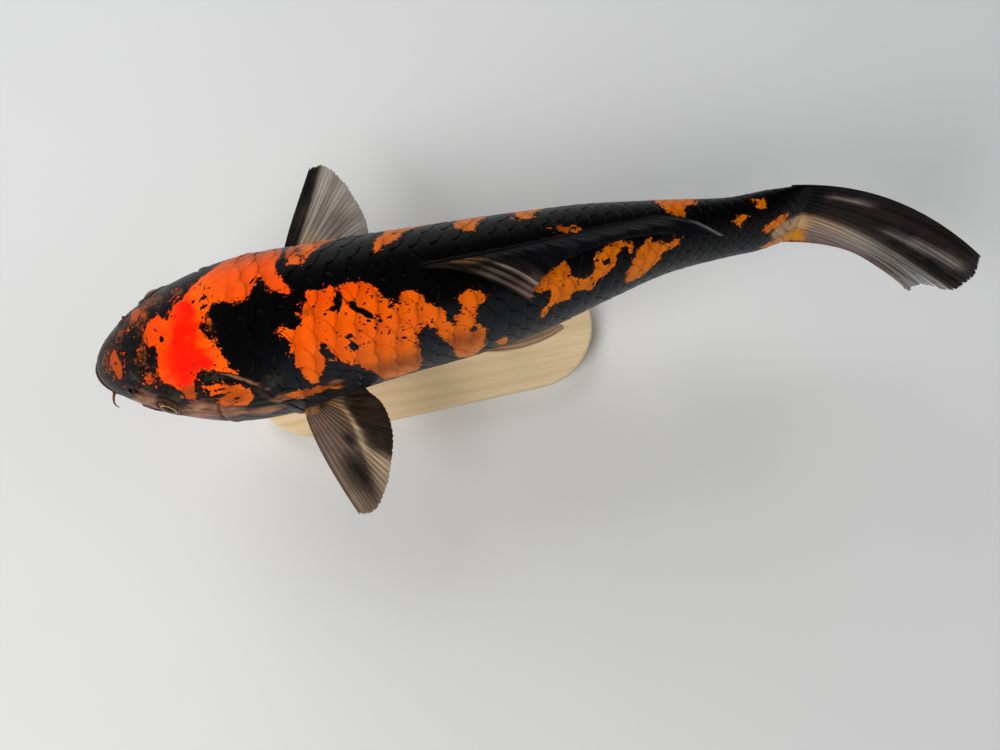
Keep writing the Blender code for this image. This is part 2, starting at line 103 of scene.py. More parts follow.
# The stand, as in the solids
BASE_CORNER = 0.042
BASE_EDGE = 0.002
ROD_RADIUS = 0.004
ROD_FOOT_HEIGHT = 0.004
ROD_CHAMFER = 0.0009
ROD_FILLET = 0.0008

# Fins, as in the solids: roots, bends and tips of the rays, the front ray first
FIN_CLEAR = 0.0022
DORSAL = {
    "roots": ((0.475, 0), (0.585, 0), (0.695, 0), (0.800, 0)),
    "bends": ((0.530, -0.018, 0.165), (0.668, -0.010, 0.130), (0.840, -0.004, 0.098)),
    "tips": (
        (0.607, -0.0705, 0.098), (0.620, -0.0480, 0.114), (0.651, -0.0315, 0.1230), (0.704, -0.0195, 0.1165),
        (0.776, -0.0170, 0.1035), (0.872, -0.0324, 0.085),
    ),
}
ANAL = {
    "roots": ((0.752, 180), (0.790, 180), (0.826, 180)),
    "bends": ((0.803, 0.004, -0.121), (0.834, 0.005, -0.103), (0.860, 0.003, -0.081)),
    "tips": ((0.864, 0.006, -0.150), (0.882, 0.006, -0.130), (0.891, 0.005, -0.108), (0.896, 0.001, -0.089)),
}
TAIL_PARTING = 0.018
TAIL = {
    "roots": ((1.0035, 0.0215, 0.0580), (1.0035, 0.0020, 0.0020), (1.0035, -0.0175, -0.0550)),
    "bends": (
        (1.124, -0.020, 0.092), (1.100, -0.040, 0.045), (1.092, -0.040, -0.002), (1.105, -0.040, -0.048),
        (1.150, -0.036, -0.088),
    ),
    "tips": (
        (1.186, -0.132, 0.085), (1.185, -0.151, 0.060), (1.172, -0.158, 0.030), (1.172, -0.143, -0.008),
        (1.172, -0.127, -0.050), (1.190, -0.126, -0.092), (1.194, -0.118, -0.118),
    ),
}
PECTORAL = {
    "roots": ((0.264, 112), (0.278, 121), (0.292, 130)),
    "bends": ((0.257, 0.154, -0.088), (0.318, 0.155, -0.092), (0.326, 0.090, -0.098)),
    "tips": (
        (0.307, 0.275, -0.098), (0.328, 0.274, -0.099), (0.350, 0.248, -0.100), (0.367, 0.208, -0.100),
        (0.377, 0.167, -0.100), (0.372, 0.124, -0.100), (0.350, 0.091, -0.102),
    ),
}
PECTORAL_SWEEP = {"left": 0.0, "right": 0.024}
PELVIC = {
    "roots": ((0.496, 145), (0.513, 151), (0.530, 157)),
    "bends": ((0.598, 0.0985, -0.125), (0.590, 0.060, -0.138), (0.566, 0.036, -0.142)),
    "tips": ((0.6716, 0.0547, -0.135), (0.662, 0.046, -0.143), (0.640, 0.038, -0.147), (0.605, 0.030, -0.145)),
}
SIDES = {"left": -1, "right": 1}

# The coat of scales
SCALE_ROWS = 26  # round the body
SCALE_COLUMNS = 37  # along the lateral line
SCALE_LENGTH = 1.95  # of the spacing along a row
SCALE_WIDTH = 1.80  # of the spacing between rows
SCALE_THICKNESS = 0.00016
COAT_DEPTH = 0.0006
COAT_END = 0.992
LATERAL_LINE = 6.5  # rows from the back
SCALE_VARIES = (0.035, 0.030)  # of its length and its width
SCALE_TURNS = np.radians(2.2)
SCALE_STRAYS = 0.0008  # of the body length
SCALE_SEED = 11
TONE_SEED = 5
GRID = 9  # faces across a scale

# The skin's mesh and gloss
ROUND_SKIN = 320
HEAD_RINGS = 190
TRUNK_RINGS = 85
WET_SHEEN = 0.085

# The studio: each light's name, place, size, power, colour and whether it gives a sheen
FLOOR_REACH = 6.0
LIGHTS = (
    ("key", (-0.90, -0.60, 1.15), (0.9, 0.8), 19.0, (1.0, 0.985, 0.96), False),
    ("second", (-0.40, 0.95, 1.05), (0.9, 0.8), 10.2, (0.98, 0.99, 1.0), False),
    ("rear", (1.30, -0.20, 0.70), (0.8, 0.6), 5.0, (1.0, 1.0, 1.0), False),
    ("left", (0.10, -1.35, 0.40), (1.2, 0.30), 2.0, (1.0, 1.0, 1.0), True),
    ("right", (0.00, 1.35, 0.40), (1.2, 0.30), 1.6, (1.0, 1.0, 1.0), True),
)
LIGHTS_AIM = (0.03, -0.02, AXIS_HEIGHT)
CAMERA_AIM = (0.5466, -0.1327, 0)
CAMERA_AWAY = 1.0675
CAMERA_TURN = math.radians(-12.6)
CAMERA_RISE = math.radians(80)
CAMERA_LENS = 28


# ---- shape of the body


def curve_through(knots, values, places):
    """Values at the places, on a smooth curve through the values at the knots."""
    knots = np.asarray(knots, float)
    values = np.asarray(values, float)
    places = np.asarray(places, float)
    slopes = np.gradient(values, knots, axis=0)
    k = np.clip(np.searchsorted(knots, places, side="right") - 1, 0, len(knots) - 2)
    span = (knots[k + 1] - knots[k])[..., None]
    t = (places - knots[k])[..., None] / span
    start = (1 + 2 * t) * (1 - t) ** 2 * values[k] + t * (1 - t) ** 2 * span * slopes[k]
    end = t * t * (3 - 2 * t) * values[k + 1] + t * t * (t - 1) * span * slopes[k + 1]
    return start + end


def ease(t):
    """0 to 1 with a soft start and end."""
    t = np.clip(t, 0, 1)
    return t * t * (3 - 2 * t)


def hump(distance, size):
    """A soft hump: 1 in the middle, falling to nothing over about twice its size."""
    return np.exp(-((distance / size) ** 2))


def body_surface(s, angle):
    """Points of the body at places and angles."""
    s, angle = np.broadcast_arrays(np.asarray(s, float), np.asarray(angle, float))
    sizes = curve_through(np.sqrt(SECTIONS[:, 0]), SECTIONS[:, 1:], np.sqrt(np.clip(s, 0, 1)))
    width, back, belly, level, shift = np.moveaxis(sizes, -1, 0)
    power = HEAD_ROUNDNESS + (TRUNK_ROUNDNESS - HEAD_ROUNDNESS) * ease((s - 0.15) / 0.25)
    across, up = np.sin(np.radians(angle)), np.cos(np.radians(angle))
    y = width * np.sign(across) * np.abs(across) ** power
    height = np.where(up > 0, back - level, level - belly)
    z = level + height * np.sign(up) * np.abs(up) ** power
    roll = TAIL_ROLL * ease((s - ROLL_FROM) / (ROLL_TO - ROLL_FROM))
    turned_y = y * np.cos(roll) + z * np.sin(roll)
    turned_z = z * np.cos(roll) - y * np.sin(roll)
    return np.stack([s, turned_y + shift, turned_z], axis=-1)


def body_normal(s, angle):
    """Unit vectors straight out of the body."""
    step = 1e-3
    along = body_surface(s + step, angle) - body_surface(s - step, angle)
    around = body_surface(s, angle + 1) - body_surface(s, angle - 1)
    normal = np.cross(along, around)
    return normal / np.linalg.norm(normal, axis=-1, keepdims=True)


def gill_opening(angle):
    """Where the head ends: at the nape on the back, further back on the side, forward again at the throat."""
    return curve_through(GILL_OPENING[:, 0], GILL_OPENING[:, 1:], np.abs(angle))[..., 0]


def metres(points):
    """Shares of the body length to metres in the frame."""
    return (np.asarray(points, float) - (BASE_AT, 0, 0)) * BODY_LENGTH + (0, 0, AXIS_HEIGHT)


def look_up(table, row, column):
    """The table's value between its rows and columns."""
    row, column = np.broadcast_arrays(row, column)
    row = np.clip(row, 0, table.shape[0] - 1.001)
    column = np.clip(column, 0, table.shape[1] - 1.001)
    i, j = row.astype(int), column.astype(int)
    u, v = row - i, column - j
    above = table[i, j] * (1 - v) + table[i, j + 1] * v
    below = table[i + 1, j] * (1 - v) + table[i + 1, j + 1] * v
    return above * (1 - u) + below * u


class Unrolled:
    """The body's surface laid flat: place along it against distance round it."""

    ROWS = 300
    HALF_STEPS = 120

    def __init__(self):
        places = (np.arange(self.ROWS + 1) / self.ROWS) ** 2
        angles = np.arange(-180, 181)
        points = body_surface(places[:, None], angles[None, :])
        steps = np.linalg.norm(np.diff(points, axis=1), axis=2)
        self.round_table = np.concatenate([np.zeros((len(places), 1)), np.cumsum(steps, axis=1)], axis=1)
        self.round_table -= self.round_table[:, 180:181]
        self.half_table = np.maximum(self.round_table[:, 360:361], 1e-6) * np.ones((1, 2))
        shares = np.linspace(-1, 1, 2 * self.HALF_STEPS + 1)
        flat = np.maximum(self.half_table[:, :1], 1e-6)
        self.angle_table = np.array([np.interp(shares, row, angles) for row in self.round_table / flat])
        self.angle_table[0] = shares * 180

    def row(self, s):
        return np.sqrt(np.clip(s, 0, 1)) * self.ROWS

    def half(self, s):
        """Half the girth at a place."""
        return look_up(self.half_table, self.row(s), np.zeros_like(s))

    def round(self, s, angle):
        return look_up(self.round_table, self.row(s), np.asarray(angle) + 180)

    def angle(self, s, w):
        """The angle of a point this far round the body. Past the middle of the belly it goes on up the other side."""
        share = (w / self.half(s) + 1) % 2
        return look_up(self.angle_table, self.row(s), share * self.HALF_STEPS)


FLAT = Unrolled()


# ---- markings

# Markings lie on the unrolled body and are given in thousandths of its length: place along it, then distance round.

# Orange patches on the black ground, as outlines
PATCHES = {
    "snout": ((43, 2), (52, 8), (58, -6), (62, -14), (56, -30), (49, -34), (44, -20), (40, -8)),
    "head": (
        (105, 12), (113, 28), (130, 32), (143, 20), (152, 36), (168, 44), (180, 58), (192, 70), (205, 83),
        (225, 120), (238, 160), (275, 175), (290, 130), (302, 95), (299, 66), (294, 56), (300, 40), (305, 26),
        (312, 15), (315, 4), (309, 3), (298, 12), (287, 20), (283, 30), (281, 43), (272, 43), (265, 36), (261, 26),
        (255, 16), (235, 18), (222, 22), (210, 22), (200, 12), (195, 4), (187, -1), (194, -14), (198, -22),
        (206, -30), (209, -40), (213, -53), (214, -61), (222, -73), (208, -68), (195, -62), (180, -56), (170, -58),
        (163, -67), (157, -80), (155, -92), (143, -92), (138, -78), (130, -66), (120, -58), (116, -47), (118, -35),
        (122, -22), (119, -10), (112, -8), (104, 0),
    ),
    "brow": ((90, -44), (102, -42), (108, -50), (98, -54)),
    "right brow": ((84, 40), (96, 36), (101, 48), (92, 60), (82, 56)),
    "left gill cover": (
        (169, -77), (188, -79), (205, -85), (219, -88), (228, -100), (227, -115), (217, -127), (202, -125),
        (190, -118), (178, -110), (183, -102), (172, -94), (177, -87),
    ),
    "left flank": (
        (283, -34), (293, -28), (301, -34), (313, -38), (320, -30), (325, -18), (331, -8), (329, 4), (353, 1),
        (360, 6), (373, -2), (385, 3), (400, -3), (414, -14), (423, -20), (430, -30), (438, -36), (443, -30),
        (445, -24), (464, -23), (470, -34), (474, -45), (486, -50), (494, -60), (495, -70), (503, -68), (511, -70),
        (516, -56), (512, -44), (522, -40), (532, -36), (540, -42), (547, -50), (541, -60), (532, -70), (530, -85),
        (536, -95), (541, -105), (538, -125), (531, -165), (520, -200), (500, -190), (494, -145), (489, -120),
        (484, -108), (478, -98), (478, -84), (465, -76), (458, -80), (453, -92), (455, -105), (450, -120),
        (448, -140), (440, -200), (400, -215), (385, -165), (377, -130), (368, -118), (357, -108), (350, -112),
        (347, -102), (345, -85), (342, -68), (338, -59), (332, -66), (328, -78), (332, -90), (330, -102),
        (322, -112), (312, -130), (302, -125), (298, -105), (297, -85), (290, -78), (291, -65), (297, -55),
        (292, -46),
    ),
    "rear flank": (
        (603, -45), (612, -34), (632, -28), (645, -24), (656, -20), (658, -34), (657, -45), (664, -55), (672, -60),
        (680, -56), (690, -50), (692, -38), (702, -28), (722, -20), (735, -18), (735, -28), (722, -34), (725, -43),
        (718, -52), (708, -62), (700, -60), (692, -72), (686, -82), (658, -78), (655, -86), (640, -86), (628, -100),
        (622, -112), (612, -110), (615, -95), (624, -84), (630, -72), (627, -63), (618, -62), (604, -58),
    ),
    "stalk": (
        (737, -83), (739, -67), (747, -52), (755, -41), (763, -36), (768, -28), (776, -23), (789, -26), (803, -34),
        (811, -29), (819, -34), (812, -41), (800, -46), (789, -56), (779, -69), (770, -81), (757, -95), (744, -93),
    ),
    "stalk prong": ((741, -24), (747, -18), (752, -26), (746, -35)),
    "tail root": ((946, -46), (958, -37), (972, -36), (984, -42), (978, -54), (964, -60), (952, -58)),
    "tail corner": ((950, -94), (966, -86), (985, -88), (1010, -88), (1010, -122), (985, -116), (962, -108)),
    "tail spot": ((930, 1), (948, -4), (947, -16), (934, -10)),
    "stalk fleck": ((897, -21), (908, -16), (919, -20), (912, -28), (901, -27)),
    "right back": ((642, 21), (660, 19), (674, 14), (687, 8), (677, 6), (658, 12)),
    "left collar": (
        (268, -132), (281, -134), (295, -135), (308, -137), (320, -142), (334, -154), (340, -166), (330, -165),
        (318, -154), (305, -156), (290, -157), (277, -148),
    ),
    "behind the pelvic fin": ((552, -150), (560, -136), (568, -145), (566, -175), (555, -175)),
    "right shoulder": (
        (313, 62), (316, 50), (328, 43), (336, 50), (340, 62), (350, 70), (354, 86), (369, 98), (375, 118),
        (358, 126), (346, 110), (332, 138), (318, 120), (313, 85),
    ),
    "right finger": (
        (424, 33), (431, 31), (436, 42), (445, 50), (458, 58), (462, 75), (478, 90), (502, 100), (523, 118),
        (516, 152), (490, 170), (471, 148), (456, 172), (440, 150), (447, 122), (434, 100), (438, 80), (431, 65),
        (426, 50),
    ),
    "right middle": (
        (522, 62), (530, 52), (548, 46), (556, 56), (562, 70), (574, 82), (566, 98), (549, 88), (540, 103),
        (530, 85),
    ),
    "right rear": (
        (605, 60), (612, 48), (622, 44), (630, 48), (632, 62), (652, 80), (690, 88), (716, 104), (700, 120),
        (660, 108), (634, 124), (612, 106), (606, 85),
    ),
    "right stalk": (
        (800, 45), (800, 22), (808, 10), (818, 2), (830, -6), (829, 4), (838, 10), (850, 12), (858, 30), (862, 60),
        (848, 85), (822, 80), (806, 65),
    ),
}
# Black flecks inside the orange: the middle, half length, half width, then the turn in degrees
FLECKS = (
    (360, -26, 8.5, 4.4, 10), (369, -15, 10, 4, 80), (397, -39, 18.5, 5.4, -44), (409, -21, 6.2, 3, -20),
    (431, -40, 3.5, 2.8, 0), (372, -65, 6.2, 4.8, 0), (372, -82, 5.6, 7.4, 0), (384, -87, 5.8, 2.6, -35),
    (355, -56, 4.6, 2.8, -30), (438, -69, 3, 2.6, 0), (435, -89, 4, 2.6, 30), (504, -81, 5.6, 3.4, 20),
    (498, -72, 2.8, 3.6, 0), (525, -101, 3.6, 5, 0), (296, -76, 3, 6.2, 0), (132, -3, 3.6, 3.4, 0),
    (199, 35, 5, 2.8, 0), (184, 34, 3.4, 2.6, 30), (198, 22, 5, 2.2, 20), (333, 60, 3.2, 6, 15), (325, 82, 4, 7, 0),
    (640, -40, 4.6, 3.2, 20), (712, -42, 4.8, 2.6, 30), (450, 75, 4, 5, 0), (766, -44, 2.4, 1.8, 0),
    (50, -12, 2.8, 2.2, 0), (186, -99, 17, 2.4, 10), (207, -109, 11, 1.7, 6), (192, -88, 10, 1.4, -6),
    (198, -118, 9, 1.3, 12),
)
# Soft spots of other colours, each with its middle and its reach along and round: the red heart of the head, dark
# pepper in the orange, rosy cheeks, olive and umber on the head, black blotches, dulled orange with painted shade low
# on the flanks, straw by the tail
ZONES = {
    "red": (
        (172, 26, 15, 20), (167, 2, 21, 24), (160, -22, 27, 22), (154, -43, 27, 19), (182, -45, 22, 12),
        (150, -62, 16, 14),
    ),
    "pepper": (
        (204, 30, 12, 14), (425, -60, 55, 40), (460, -48, 16, 12), (500, -85, 30, 30), (350, -30, 30, 20),
        (178, -50, 16, 10), (150, -84, 16, 14), (204, 52, 16, 22), (615, -55, 20, 24), (120, 10, 16, 20),
        (640, -50, 50, 30), (335, 60, 20, 20),
    ),
    "rose": (
        (66, -76, 26, 15), (100, -104, 24, 18), (150, -112, 26, 16), (186, -140, 30, 22), (228, -158, 18, 16),
        (70, 88, 22, 12), (106, 118, 20, 14), (150, 126, 22, 12), (192, 146, 26, 18), (332, -141, 12, 8),
        (120, -150, 50, 26), (120, 150, 50, 26), (262, -134, 12, 14),
    ),
    "olive": (
        (86, -62, 16, 9), (86, 62, 16, 9), (128, -82, 14, 12), (128, 82, 14, 12), (74, -34, 16, 12),
        (192, -70, 26, 8), (50, 40, 16, 12), (128, 52, 20, 12), (262, -98, 22, 16),
    ),
    "umber": (
        (50, -10, 14, 30), (30, -4, 12, 18), (101, 0, 11, 40), (103, -44, 14, 12), (88, -18, 10, 10),
        (92, 40, 16, 22), (118, 60, 20, 20), (64, 26, 12, 14), (160, 58, 16, 12), (148, -80, 14, 10),
        (203, -8, 7, 18), (326, -22, 10, 8), (318, 78, 10, 16),
    ),
    "blotch": ((80, 8, 13, 15), (112, -22, 6, 12), (76, -34, 12, 10), (140, 40, 12, 10), (184, -97, 12, 4)),
    # Dulled orange; the broad spots low on the flanks are painted shade
    "dull": (
        (205, -104, 26, 22), (52, -14, 20, 36), (150, -88, 20, 14), (92, 48, 20, 18), (260, 130, 80, 60),
        (305, -148, 40, 18), (415, -145, 80, 28), (505, -120, 40, 28), (660, 15, 30, 10),
    ),
    "straw": ((975, -64, 14, 14), (992, -74, 20, 20), (992, -106, 22, 12)),
}
# The free edge of the gill cover, which shows as a thin paler line on both sides
COVER_EDGE = np.array(((176, 54), (210, 71), (228, 84), (243, 99), (254, 114), (266, 130), (274, 143))) / 1000
FLECK_EDGE = 1.8
FAR = 0.03  # fields are worked out this far from an outline


def inside(outline, s, w):
    """How far points lie inside a closed outline, in shares of the body length: negative outside it."""
    corners = np.array(outline) / 1000
    result = np.full(s.shape, -FAR)
    low, high = corners.min(axis=0) - FAR, corners.max(axis=0) + FAR
    near = (s > low[0]) & (s < high[0]) & (w > low[1]) & (w < high[1])
    x, y = s[near], w[near]
    closest = np.full(x.shape, FAR)
    within = np.zeros(x.shape, bool)
    for (ax, ay), (bx, by) in zip(corners, np.roll(corners, -1, axis=0)):
        ex, ey = bx - ax, by - ay
        t = np.clip(((x - ax) * ex + (y - ay) * ey) / (ex * ex + ey * ey), 0, 1)
        closest = np.minimum(closest, np.hypot(x - ax - t * ex, y - ay - t * ey))
        if ay != by:
            within ^= ((ay > y) != (by > y)) & (x < ax + (y - ay) / ey * ex)
    result[near] = np.where(within, closest, -closest)
    return result


def in_fleck(fleck, s, w):
    """About how far points lie inside a fleck: negative outside it."""
    place, around, half_length, half_width = np.array(fleck[:4]) / 1000
    turn = math.radians(fleck[4])
    x = (s - place) * math.cos(turn) + (w - around) * math.sin(turn)
    y = (w - around) * math.cos(turn) - (s - place) * math.sin(turn)
    return (1 - np.hypot(x / half_length, y / half_width)) * min(half_length, half_width) * FLECK_EDGE


def soft_zone(spots, s, w):
    """1 in the middle of each spot, fading outwards. Where spots meet they add up, but never past 1."""
    empty = 1.0
    for place, around, reach, spread in np.array(spots) / 1000:
        empty = empty * (1 - hump(np.hypot((s - place) / reach, (w - around) / spread), 1))
    return 1 - empty


def markings(s, w):
    """The fields that colour skin and scales alike."""
    orange = np.max([inside(outline, s, w) for outline in PATCHES.values()], axis=0)
    for fleck in FLECKS:
        orange = np.minimum(orange, -in_fleck(fleck, s, w))
    soft = {name: soft_zone(spots, s, w) for name, spots in ZONES.items()}
    from_edge = chain_distance(np.stack([s, np.abs(w)], axis=-1), COVER_EDGE)
    soft["rose"] = np.maximum(soft["rose"], 0.62 * hump(from_edge, 0.0024))
    # Orange turns to gold down the flanks and towards the tail, and to a deeper red on the head, nape and back.
    gold = 0.9 * ease((s - 0.30) / 0.42) + ease((np.abs(w) - 0.055) / 0.11) * 0.75
    # Painted shade: more gold, a darker orange, over the fish's right side from the shoulder back
    gold = gold + 0.5 * ease((w - 0.025) / 0.03) * ease((s - 0.28) / 0.06)
    back = ease((w + 0.035) / 0.03) * ease((0.040 - w) / 0.02) * ease((s - 0.29) / 0.03)
    shoulder = ease((s - 0.19) / 0.03) * ease((0.34 - s) / 0.04) * ease((w + 0.02) / 0.03)
    deep = 0.9 * ease((0.200 - s) / 0.05) + 0.7 * back + 0.35 * shoulder
    return {
        "orange": orange,
        "gold": np.clip(gold, 0, 1),
        "belly": np.abs(w) - FLAT.half(s) * (0.70 + 0.22 * ease((s - 0.62) / 0.3)),
        "head": ease((0.195 - s) / 0.05),
        "deep": np.clip(deep, 0, 1),
        # Where the black of the flanks takes the painted bluish reflection
        "flank": ease((np.abs(w) - 0.035) / 0.075) * ease((s - 0.22) / 0.1),
        **soft,
    }


# ---- finishes


def tint(code):
    """A colour from its hexadecimal code."""
    shares = [int(code[k:k + 2], 16) / 255 for k in (0, 2, 4)]
    return (*[c / 12.92 if c <= 0.04045 else ((c + 0.055) / 1.055) ** 2.4 for c in shares], 1.0)


class Value:
    """A node's output that can stand in arithmetic."""

    def __init__(self, finish, socket):
        self.finish = finish
        self.socket = socket

    def __add__(self, other):
        return self.finish.maths("ADD", self, other)

    def __sub__(self, other):
        return self.finish.maths("SUBTRACT", self, other)

    def __rsub__(self, other):
        return self.finish.maths("SUBTRACT", other, self)

    def __mul__(self, other):
        return self.finish.maths("MULTIPLY", self, other)

    __radd__ = __add__
    __rmul__ = __mul__


class Finish:
    """A material, or the air of the studio, whose nodes are made from expressions."""

    def __init__(self, name, kind="materials"):
        self.owner = getattr(bpy.data, kind).new(name)
        self.owner.use_nodes = True
        self.tree = self.owner.node_tree
        self.tree.nodes.clear()
        self.where = self.node("ShaderNodeTexCoord", out="Object")

    def node(self, kind, settings=None, sockets=None, out=0):
        """A node of this type, with its settings, then the values or links of its sockets. Gives one output."""
        node = self.tree.nodes.new(kind)
        for name, value in (settings or {}).items():
            if name == "stops":
                ramp = node.color_ramp.elements
                while len(ramp) < len(value):
                    ramp.new(1.0)
                for stop, (position, colour) in zip(ramp, value):
                    stop.position = position
                    stop.color = colour
            else:
                setattr(node, name, value)
        for name, value in (sockets or {}).items():
            if isinstance(value, Value):
                self.tree.links.new(value.socket, node.inputs[name])
            else:
                node.inputs[name].default_value = value
        return Value(self, node.outputs[out]) if len(node.outputs) else None

    def maths(self, operation, *values):
        return self.node("ShaderNodeMath", {"operation": operation}, dict(enumerate(values)))

    def wave(self, value):
        """A sine from 0 to 1."""
        return self.maths("SINE", value) * 0.5 + 0.5

    def field(self, name):
        """A value stored on the mesh's points."""
        return self.node("ShaderNodeAttribute", {"attribute_name": name}, out="Fac")

    def step(self, value, low, high):
        """0 below low, 1 above high, soft between."""
        sockets = {"Value": value, "From Min": low, "From Max": high}
        return self.node("ShaderNodeMapRange", {"interpolation_type": "SMOOTHSTEP"}, sockets)

    def noise(self, size, detail=2.0, rough=0.5, where=None):
        """Noise from 0 to 1 whose lumps are about this many metres across."""
        sockets = {"Vector": where or self.where, "Scale": 1 / size, "Detail": detail, "Roughness": rough}
        return self.node("ShaderNodeTexNoise", {}, sockets)

    def stretched(self, x, y, z):
        """The place on the object, stretched along the axes."""
        sockets = {0: self.where, 1: (x, y, z)}
        return self.node("ShaderNodeVectorMath", {"operation": "MULTIPLY"}, sockets)

    def mix(self, share, first, second, blend="MIX"):
        """A colour between two colours."""
        settings = {"data_type": "RGBA", "blend_type": blend, "clamp_factor": True}
        return self.node("ShaderNodeMix", settings, {0: share, 6: first, 7: second}, out=2)

    def bump(self, height, depth, under=None):
        """A normal from a height of 0 to 1 that stands for this many metres."""
        sockets = {"Height": height, "Distance": depth, "Strength": 1.0}
        if under:
            sockets["Normal"] = under
        return self.node("ShaderNodeBump", {}, sockets)

    def surface(self, **sockets):
        """Ends the material in a Principled shader. A socket's name is given with underscores for spaces."""
        named = {name.replace("_", " "): value for name, value in sockets.items()}
        shader = self.node("ShaderNodeBsdfPrincipled", {}, named)
        self.node("ShaderNodeOutputMaterial", {}, {"Surface": shader})
        return self.owner


# Colours of the fish
BLACK = tint("050506")
# Painted reflection: a bluish sheen on the black down the flanks
REFLECTED_BLUE_GREY = tint("12151b")
DARK_RIM = tint("2c0c03")
ORANGE = tint("f75c05")
DEEP_ORANGE = tint("ee4204")
RED = tint("fb1602")
BRIGHT = tint("ff7d10")
RUST = tint("c44602")
# A dull orange, for dulled patches and for painted shade low on the flanks
DULL_AND_SHADE = tint("8c3c08")
GOLD = tint("c96a04")
CREAM = tint("c89468")
BELLY_CREAM = tint("b87c46")
ROSE = tint("6e3e2c")
ROSE_LIGHT = tint("a87452")
UMBER = tint("74380f")
OLIVE = tint("34332a")
HEAD_DARK = tint("0b0908")
HEAD_BROWN = tint("33201a")
STRAW = tint("b8926a")
STRAW_GOLD = tint("cf9410")


def koi_colour(finish, own_edge=0.0):
    """The fish's colour from its markings. An edge of the piece's own shifts where a patch ends."""
    field, mix, noise, step = finish.field, finish.mix, finish.noise, finish.step
    mottled = noise(0.0030, 5.0, 0.72)
    umber_field = field("umber")

    # Where the orange ends: ragged, broken by dark specks and blotches, and with sparks of it beyond.
    ragged = (noise(0.0060, 4.0, 0.65) - 0.5) * 0.0110 + (noise(0.0026, 4.0, 0.70) - 0.5) * 0.0090
    specks = step(noise(0.0021, 2.0, 0.6), 0.60, 0.67)
    blotch = step(field("blotch"), 0.4, 0.8)
    sparks = step(noise(0.0026, 5.0, 0.72, finish.stretched(0.7, 1.0, 1.0)), 0.56, 0.64)
    edge = field("orange") + ragged + own_edge
    edge = edge - specks * (field("pepper") * 0.024 + 0.005) - blotch * 0.01
    edge = edge + sparks * (umber_field * 0.050 + 0.005)

    # The orange, from gold to red
    cloudy = noise(0.007, 4.0, 0.6)
    streaky = noise(0.0040, 5.0, 0.68, finish.stretched(0.50, 1.0, 1.0))
    patch = mix(field("deep"), ORANGE, DEEP_ORANGE)
    patch = mix(field("gold"), patch, GOLD)
    patch = mix(step(cloudy, 0.50, 0.78) * 0.45, patch, RUST)
    patch = mix(step(cloudy, 0.48, 0.25) * 0.25, patch, BRIGHT)
    patch = mix(step(field("red") + (streaky - 0.5) * 1.5, 0.10, 1.00), patch, RED)
    # Dulled orange, which also paints shade low on the flanks
    dull = field("dull") + umber_field + (mottled - 0.5) * 1.4
    patch = mix(step(dull, 0.20, 1.00) * 0.75, patch, DULL_AND_SHADE)

    # The black ground with a painted bluish reflection down the flanks, the head's browns, the cheeks and the belly
    drawn = noise(0.0060, 3.0, 0.55, finish.stretched(0.32, 1.0, 1.0)) - 0.5
    stripes = noise(0.0032, 2.0, 0.55, finish.stretched(0.14, 1.0, 1.0))
    olive = step(field("olive") + (mottled - 0.5) * 3.0, 0.40, 1.20) * step(field("olive"), 0.04, 0.20)
    umber = step(umber_field - field("blotch") + (mottled - 0.5) * 3.6, 0.60, 1.10) * step(umber_field, 0.04, 0.20)
    rose = step(field("rose") + drawn * 2.0 + (mottled - 0.5) * 0.5, 0.22, 0.95) * step(field("rose"), 0.04, 0.20)
    wander = (noise(0.040, 2.0) - 0.5) * 0.16 + (noise(0.008, 4.0, 0.65) - 0.5) * 0.06
    ground = mix(field("flank"), BLACK, REFLECTED_BLUE_GREY)
    ground = mix(field("head"), ground, mix(step(mottled, 0.52, 0.70), HEAD_DARK, HEAD_BROWN))
    ground = mix(olive * 0.8, ground, OLIVE)
    ground = mix(umber * 0.9, ground, UMBER)
    ground = mix(rose * 0.9, ground, mix(step(stripes, 0.30, 0.75), ROSE, ROSE_LIGHT))
    under = mix(step(noise(0.02, 3.0), 0.4, 0.65), BELLY_CREAM, CREAM)
    ground = mix(step(field("belly") + wander, -0.012, 0.012), ground, under)

    straw = step(field("straw") + ragged * 40, 0.20, 0.80)
    ground = mix(straw, ground, STRAW)
    patch = mix(straw * 0.7, patch, STRAW_GOLD)
    rim = step(edge, -0.0014, 0.0002)
    full = step(edge, -0.0002, 0.0010)
    return mix(full, mix(rim, ground, DARK_RIM), patch)


def skin_finish():
    finish = Finish("koi skin")
    # Painted light and shade on the head's relief: lighter on its ridges, near black in its creases
    colour = finish.mix(finish.field("ridge") * 0.36, koi_colour(finish), tint("684434"))
    colour = finish.mix(finish.field("crease") * 0.65, colour, tint("080505"))
    pores = finish.noise(0.0009, 2.0, 0.6)
    wrinkles = finish.noise(0.0045, 4.0, 0.6)
    return finish.surface(
        Base_Color=colour,
        Roughness=0.29 + 0.16 * wrinkles,
        Specular_IOR_Level=WET_SHEEN,
        Normal=finish.bump(pores, 0.00005, finish.bump(wrinkles, 0.00015)),
    )


def scale_finish():
    finish = Finish("koi scales")
    tone = finish.field("tone") - 0.5
    colour = koi_colour(finish, own_edge=tone * 0.0060)
    # Painted shade: each scale darkens towards its covered root, along with a random tone of its own
    tone_and_pocket_shade = finish.mix(1.0, colour, tint("a8806c"), "MULTIPLY")
    colour = finish.mix(finish.step(finish.field("lip"), 0.72, 0.50) * 0.30 + tone * 0.10, colour, tone_and_pocket_shade)
    colour = finish.mix(finish.field("canal") * 0.6, colour, tint("1c120e"))
    radii = finish.wave(finish.field("fan") * 46.0)
    circles = finish.wave(finish.field("ring") * 95.0 + finish.noise(0.004) * 3.0)
    height = radii * 0.35 + circles * 0.35 + finish.noise(0.0008) * 0.3
    return finish.surface(
        Base_Color=colour,
        Roughness=0.29 + 0.16 * finish.noise(0.003),
        Specular_IOR_Level=WET_SHEEN,
        Normal=finish.bump(height, 0.00002),
    )


